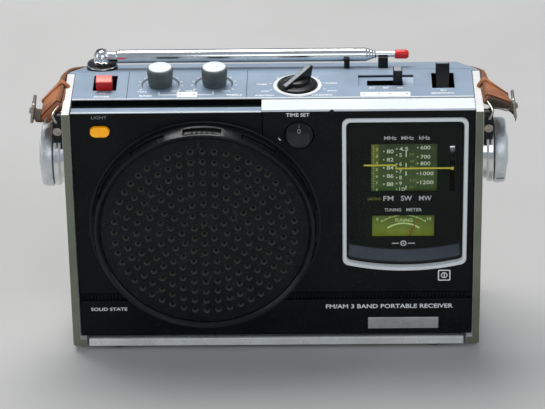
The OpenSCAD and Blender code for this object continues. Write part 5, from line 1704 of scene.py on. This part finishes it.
def make_strap():
    frames = strap_frames()
    bm = bmesh.new()
    strap_skin(bm, frames, STRAP_W, STRAP_T, ripple=0.12)
    close(bm, "carrying_strap", ["leather", "leather_edge", "leather_flesh"],
          stands_for="strap", sharp=50)
    ends = [frames, [(s, -a, c, o) for s, a, c, o in reversed(frames)]]
    bm = bmesh.new()
    for run in ends:
        strap_skin(bm, returned(run, 3.6, 22.0), STRAP_W - 0.6, STRAP_T, 0.2)
    close(bm, "strap_returns", ["leather", "leather_edge", "leather_flesh"],
          slot="tan_leather", sharp=50)
    # keeper bands round both layers
    bm = bmesh.new()
    lay = bm.loops.layers.uv.new("Lay")
    for run in ends:
        rings = []
        for step, grow in ((15, 0.0), (15, 0.5), (16, 1.0), (17, 1.0), (18, 0.5), (18, 0.0)):
            spot, _, across, outward = run[step]
            half, up = STRAP_W / 2 + 0.25 + grow, STRAP_T / 2 + 0.4 + grow
            down = up + STRAP_T
            corner = [(half - 1, up), (half, up - 1.2), (half, 1.2 - down), (half - 1, -down),
                      (1 - half, -down), (-half, 1.2 - down), (-half, up - 1.2), (1 - half, up)]
            rings.append([bm.verts.new(spot + across * a + outward * b) for a, b in corner])
        for a, b in zip(rings, rings[1:] + rings[:1]):
            for j in range(8):
                face = bm.faces.new([a[j], a[(j + 1) % 8], b[(j + 1) % 8], b[j]])
                for loop in face.loops:
                    loop[lay].uv = (0.0, 0.5)
    close(bm, "strap_keepers", "leather", slot="tan_leather", sharp=60)
    # stitches along both edges of the outer face
    bm = bmesh.new()
    for side in (-1, 1):
        last = None
        for spot, _, across, outward in frames[2:-2]:
            point = bm.verts.new(spot + across * side * (STRAP_W / 2 - 2.1)
                                 + outward * (STRAP_T / 2 + 0.2))
            if last:
                bm.edges.new((last, point))
            last = point
    grown(bm, "strap_stitches", stitch_tree(), {
        "Pitch": sizes().stitch_pitch, "Length": sizes().stitch_pitch * 0.66,
        "Thread": 0.00026}, "thread", slot="tan_leather", in_row=True)


def make_lugs():
    softened("strap_lugs", "lugs", "black_gloss", 0.8, 4)
    # round rivets on the front of the lugs
    bm = bmesh.new()
    front = corners("strap_lugs")[0].y
    for side in (-1, 1):
        x = side * 120.8
        lathe(bm, [(0, front - 0.05), (1.1, front - 0.1), (1.7, front - 0.35), (2.3, front - 0.35),
                   (2.5, front - 0.1), (2.5, front + 1.4), (0, front + 1.4)],
              (x, 0, 139), "y", 32)
    close(bm, "lug_rivets", "buckle_metal", slot="buckle_metal")
    # wire loops from the lugs into the folds of the strap
    frames = strap_frames()
    bm = bmesh.new()
    for side, (spot, _, across, outward) in ((1, frames[0]), (-1, frames[-1])):
        fold = spot - outward * 1.8
        inner, outer = fold - across * 6.6, fold + across * 6.6
        loop = [Vector((side * 120.9, 13.2, 145.2)), Vector((side * 120.9, 2.4, 145.2)),
                Vector((side * 122.1, 1.9, 147.2)), Vector((side * 122.9, 4.5, 149.6)),
                inner, fold, outer, outer - Vector((0, 3.4, 0.6)),
                Vector((side * 125.5, 13.4, 146.4))]
        tube(bm, smooth_loop(loop), 0.7, 10, closed=True)
    close(bm, "lug_loops", "buckle_metal", slot="buckle_metal", sharp=60)


def smooth_loop(points, steps=5):
    """Closed smooth curve through points."""
    made = []
    count = len(points)
    for k in range(count):
        p = [Vector(points[(k + d) % count]) for d in (-1, 0, 1, 2)]
        for s in range(steps):
            w = curve_weights(s / steps)
            made.append(sum((p[i] * w[i] for i in range(4)), Vector()))
    return made


def make_flaps():
    """Short leather flaps, flesh side out, that hold the buckles under the strap's edge."""
    bm = bmesh.new()
    lay = bm.loops.layers.uv.new("Lay")
    for side, section in ((1, [(129.5, 147.0), (133.6, 145.6), (136.4, 142.8), (136.9, 139.2)]),
                          (-1, [(127.6, 142.6), (131.0, 141.2), (134.0, 141.6), (135.6, 144.6)])):
        rings = []
        for k in range(7):
            y, pinch = 12.5 + 2.4 * k, 0.25 * math.sin(math.pi * k / 6)
            outer = [Vector((side * x, y, z + pinch)) for x, z in section]
            inner = [p + Vector((-side * 0.5, 0, -1.3)) for p in reversed(outer)]
            rings.append([bm.verts.new(p) for p in outer + inner])
        for a, b in zip(rings, rings[1:]):
            for j in range(len(a)):
                n = (j + 1) % len(a)
                bm.faces.new([a[j], a[n], b[n], b[j]])
        bm.faces.new(rings[0])
        bm.faces.new(rings[-1])
    for face in bm.faces:
        for loop in face.loops:
            loop[lay].uv = (loop.vert.co.y * MM, 0.5)
    soften(bm, 0.4, 2)
    close(bm, "buckle_flaps", "leather_flesh", slot="tan_leather", sharp=50)


def make_buckles():
    """Square wire buckles with a bar and a prong, beside the outer edges of the strap."""
    bm = bmesh.new()
    for side, x, z in ((1, 135.6, 146.6), (-1, 135.0, 146.0)):
        def buckle(part):
            path = [(0, a, b) for a, b in rounded(0.6, -5.4, 14.4, 5.4, 2.0, 5)]
            tube(part, path, 0.95, 10, closed=True)
            tube(part, [(0, 7.5, -5.4), (0, 7.5, 5.4)], 0.8, 10)
            tube(part, [(0.4, 7.5, 1.0), (1.5, 5.0, 1.0), (1.6, 1.0, 1.1), (0.8, -0.6, 1.2)],
                 [0.75, 0.7, 0.6, 0.4], 10)
        spot = Matrix.Translation((x, 10, z)) @ Matrix.Rotation(BUCKLE_TILT, 4, "Y")
        if side < 0:
            spot = Matrix.Scale(-1, 4, (1, 0, 0)) @ spot
        turned_copy(bm, buckle, spot)
    close(bm, "buckles", "buckle_metal", stands_for="strap_buckles", sharp=60)


# ---------- operators and panel


def keep_finishes():
    make_finishes()
    for name, nodes in KEPT.items():
        for node in nodes:
            give_finish(node, name)


def make_trees():
    TREES["row"] = row_tree()
    TREES["ring"] = ring_tree()


def build(*makers):
    """Run the makers of an operator's pieces."""
    for maker in makers:
        maker()
    return {"FINISHED"}


class RADIO_OT_stage(bpy.types.Operator):
    """Camera, lights and floor"""
    bl_idname = "radio.stage"
    bl_label = "Stage"

    def execute(self, context):
        return build(make_stage)


class RADIO_OT_finishes(bpy.types.Operator):
    """Materials, and better finishes for the kept parts"""
    bl_idname = "radio.finishes"
    bl_label = "Finishes"

    def execute(self, context):
        return build(keep_finishes, make_trees)


class RADIO_OT_cabinet(bpy.types.Operator):
    """Trims, front panels, top cover and feet"""
    bl_idname = "radio.cabinet"
    bl_label = "Cabinet"

    def execute(self, context):
        return build(make_cabinet)


class RADIO_OT_ribs(bpy.types.Operator):
    """Ribbed strip above the chin"""
    bl_idname = "radio.ribs"
    bl_label = "Ribbed strip"

    def execute(self, context):
        return build(make_ribs)


class RADIO_OT_rear(bpy.types.Operator):
    """Rear cover, battery hatch, screws and jacks"""
    bl_idname = "radio.rear"
    bl_label = "Rear"

    def execute(self, context):
        return build(make_rear)


class RADIO_OT_speaker(bpy.types.Operator):
    """Bezel, grille, funnels and cloth"""
    bl_idname = "radio.speaker"
    bl_label = "Speaker"

    def execute(self, context):
        return build(make_speaker)


class RADIO_OT_dial_case(bpy.types.Operator):
    """Dial frame, well, blind and window"""
    bl_idname = "radio.dial_case"
    bl_label = "Dial case"

    def execute(self, context):
        return build(make_dial_case)


class RADIO_OT_dial_scale(bpy.types.Operator):
    """Scale card, its print and the pointer"""
    bl_idname = "radio.dial_scale"
    bl_label = "Dial scale"

    def execute(self, context):
        return build(make_dial_scale)


class RADIO_OT_meter(bpy.types.Operator):
    """Meter case, card, print and needle"""
    bl_idname = "radio.meter"
    bl_label = "Tuning meter"

    def execute(self, context):
        return build(make_meter)


class RADIO_OT_front_controls(bpy.types.Operator):
    """Badge, light button, time dial and front print"""
    bl_idname = "radio.front_controls"
    bl_label = "Front controls"

    def execute(self, context):
        return build(make_front_controls)


class RADIO_OT_levers(bpy.types.Operator):
    """Power, sensitivity and band levers"""
    bl_idname = "radio.levers"
    bl_label = "Levers"

    def execute(self, context):
        return build(make_levers)


class RADIO_OT_tone_knobs(bpy.types.Operator):
    """Bass and treble knobs"""
    bl_idname = "radio.tone_knobs"
    bl_label = "Tone knobs"

    def execute(self, context):
        return build(make_tone_knobs)


class RADIO_OT_function_knob(bpy.types.Operator):
    """Winged knob and its ring"""
    bl_idname = "radio.function_knob"
    bl_label = "Function knob"

    def execute(self, context):
        return build(make_function_knob)


class RADIO_OT_top_prints(bpy.types.Operator):
    """Words, lines and bands on the top cover"""
    bl_idname = "radio.top_prints"
    bl_label = "Top print"

    def execute(self, context):
        return build(make_top_prints)


class RADIO_OT_side_knobs(bpy.types.Operator):
    """Volume and tuning knobs with their collars"""
    bl_idname = "radio.side_knobs"
    bl_label = "Side knobs"

    def execute(self, context):
        return build(make_side_knobs)


class RADIO_OT_antenna(bpy.types.Operator):
    """Telescopic antenna with its foot and rests"""
    bl_idname = "radio.antenna"
    bl_label = "Antenna"

    def execute(self, context):
        return build(make_antenna)


class RADIO_OT_strap(bpy.types.Operator):
    """Leather strap with returns, keepers and stitches"""
    bl_idname = "radio.strap"
    bl_label = "Strap"

    def execute(self, context):
        return build(make_strap)


class RADIO_OT_lugs(bpy.types.Operator):
    """Strap lugs, loops and buckles"""
    bl_idname = "radio.lugs"
    bl_label = "Lugs and buckles"

    def execute(self, context):
        return build(make_lugs, make_flaps, make_buckles)


OPERATORS = [
    RADIO_OT_stage, RADIO_OT_finishes, RADIO_OT_cabinet, RADIO_OT_ribs, RADIO_OT_rear,
    RADIO_OT_speaker, RADIO_OT_dial_case, RADIO_OT_dial_scale, RADIO_OT_meter,
    RADIO_OT_front_controls, RADIO_OT_levers, RADIO_OT_tone_knobs, RADIO_OT_function_knob,
    RADIO_OT_top_prints, RADIO_OT_side_knobs, RADIO_OT_antenna, RADIO_OT_strap, RADIO_OT_lugs,
]


class RADIO_PT_panel(bpy.types.Panel):
    """Sidebar panel that lists the radio's pieces."""
    bl_label = "Portable radio"
    bl_idname = "RADIO_PT_panel"
    bl_space_type = "VIEW_3D"
    bl_region_type = "UI"
    bl_category = "Radio"

    def draw(self, context):
        for group in (context.scene.radio_sizes, context.scene.radio_colours):
            for key in group.__annotations__:
                self.layout.prop(group, key)
        for item in OPERATORS:
            self.layout.operator(item.bl_idname)


CLASSES = [RadioSizes, RadioColours, *OPERATORS, RADIO_PT_panel]


def register():
    for item in CLASSES:
        bpy.utils.register_class(item)
    bpy.types.Scene.radio_sizes = PointerProperty(type=RadioSizes)
    bpy.types.Scene.radio_colours = PointerProperty(type=RadioColours)


def unregister():
    del bpy.types.Scene.radio_sizes
    del bpy.types.Scene.radio_colours
    for item in reversed(CLASSES):
        bpy.utils.unregister_class(item)


def main():
    register()
    for item in OPERATORS:
        group, name = item.bl_idname.split(".")
        getattr(getattr(bpy.ops, group), name)()


if __name__ == "__main__":
    main()
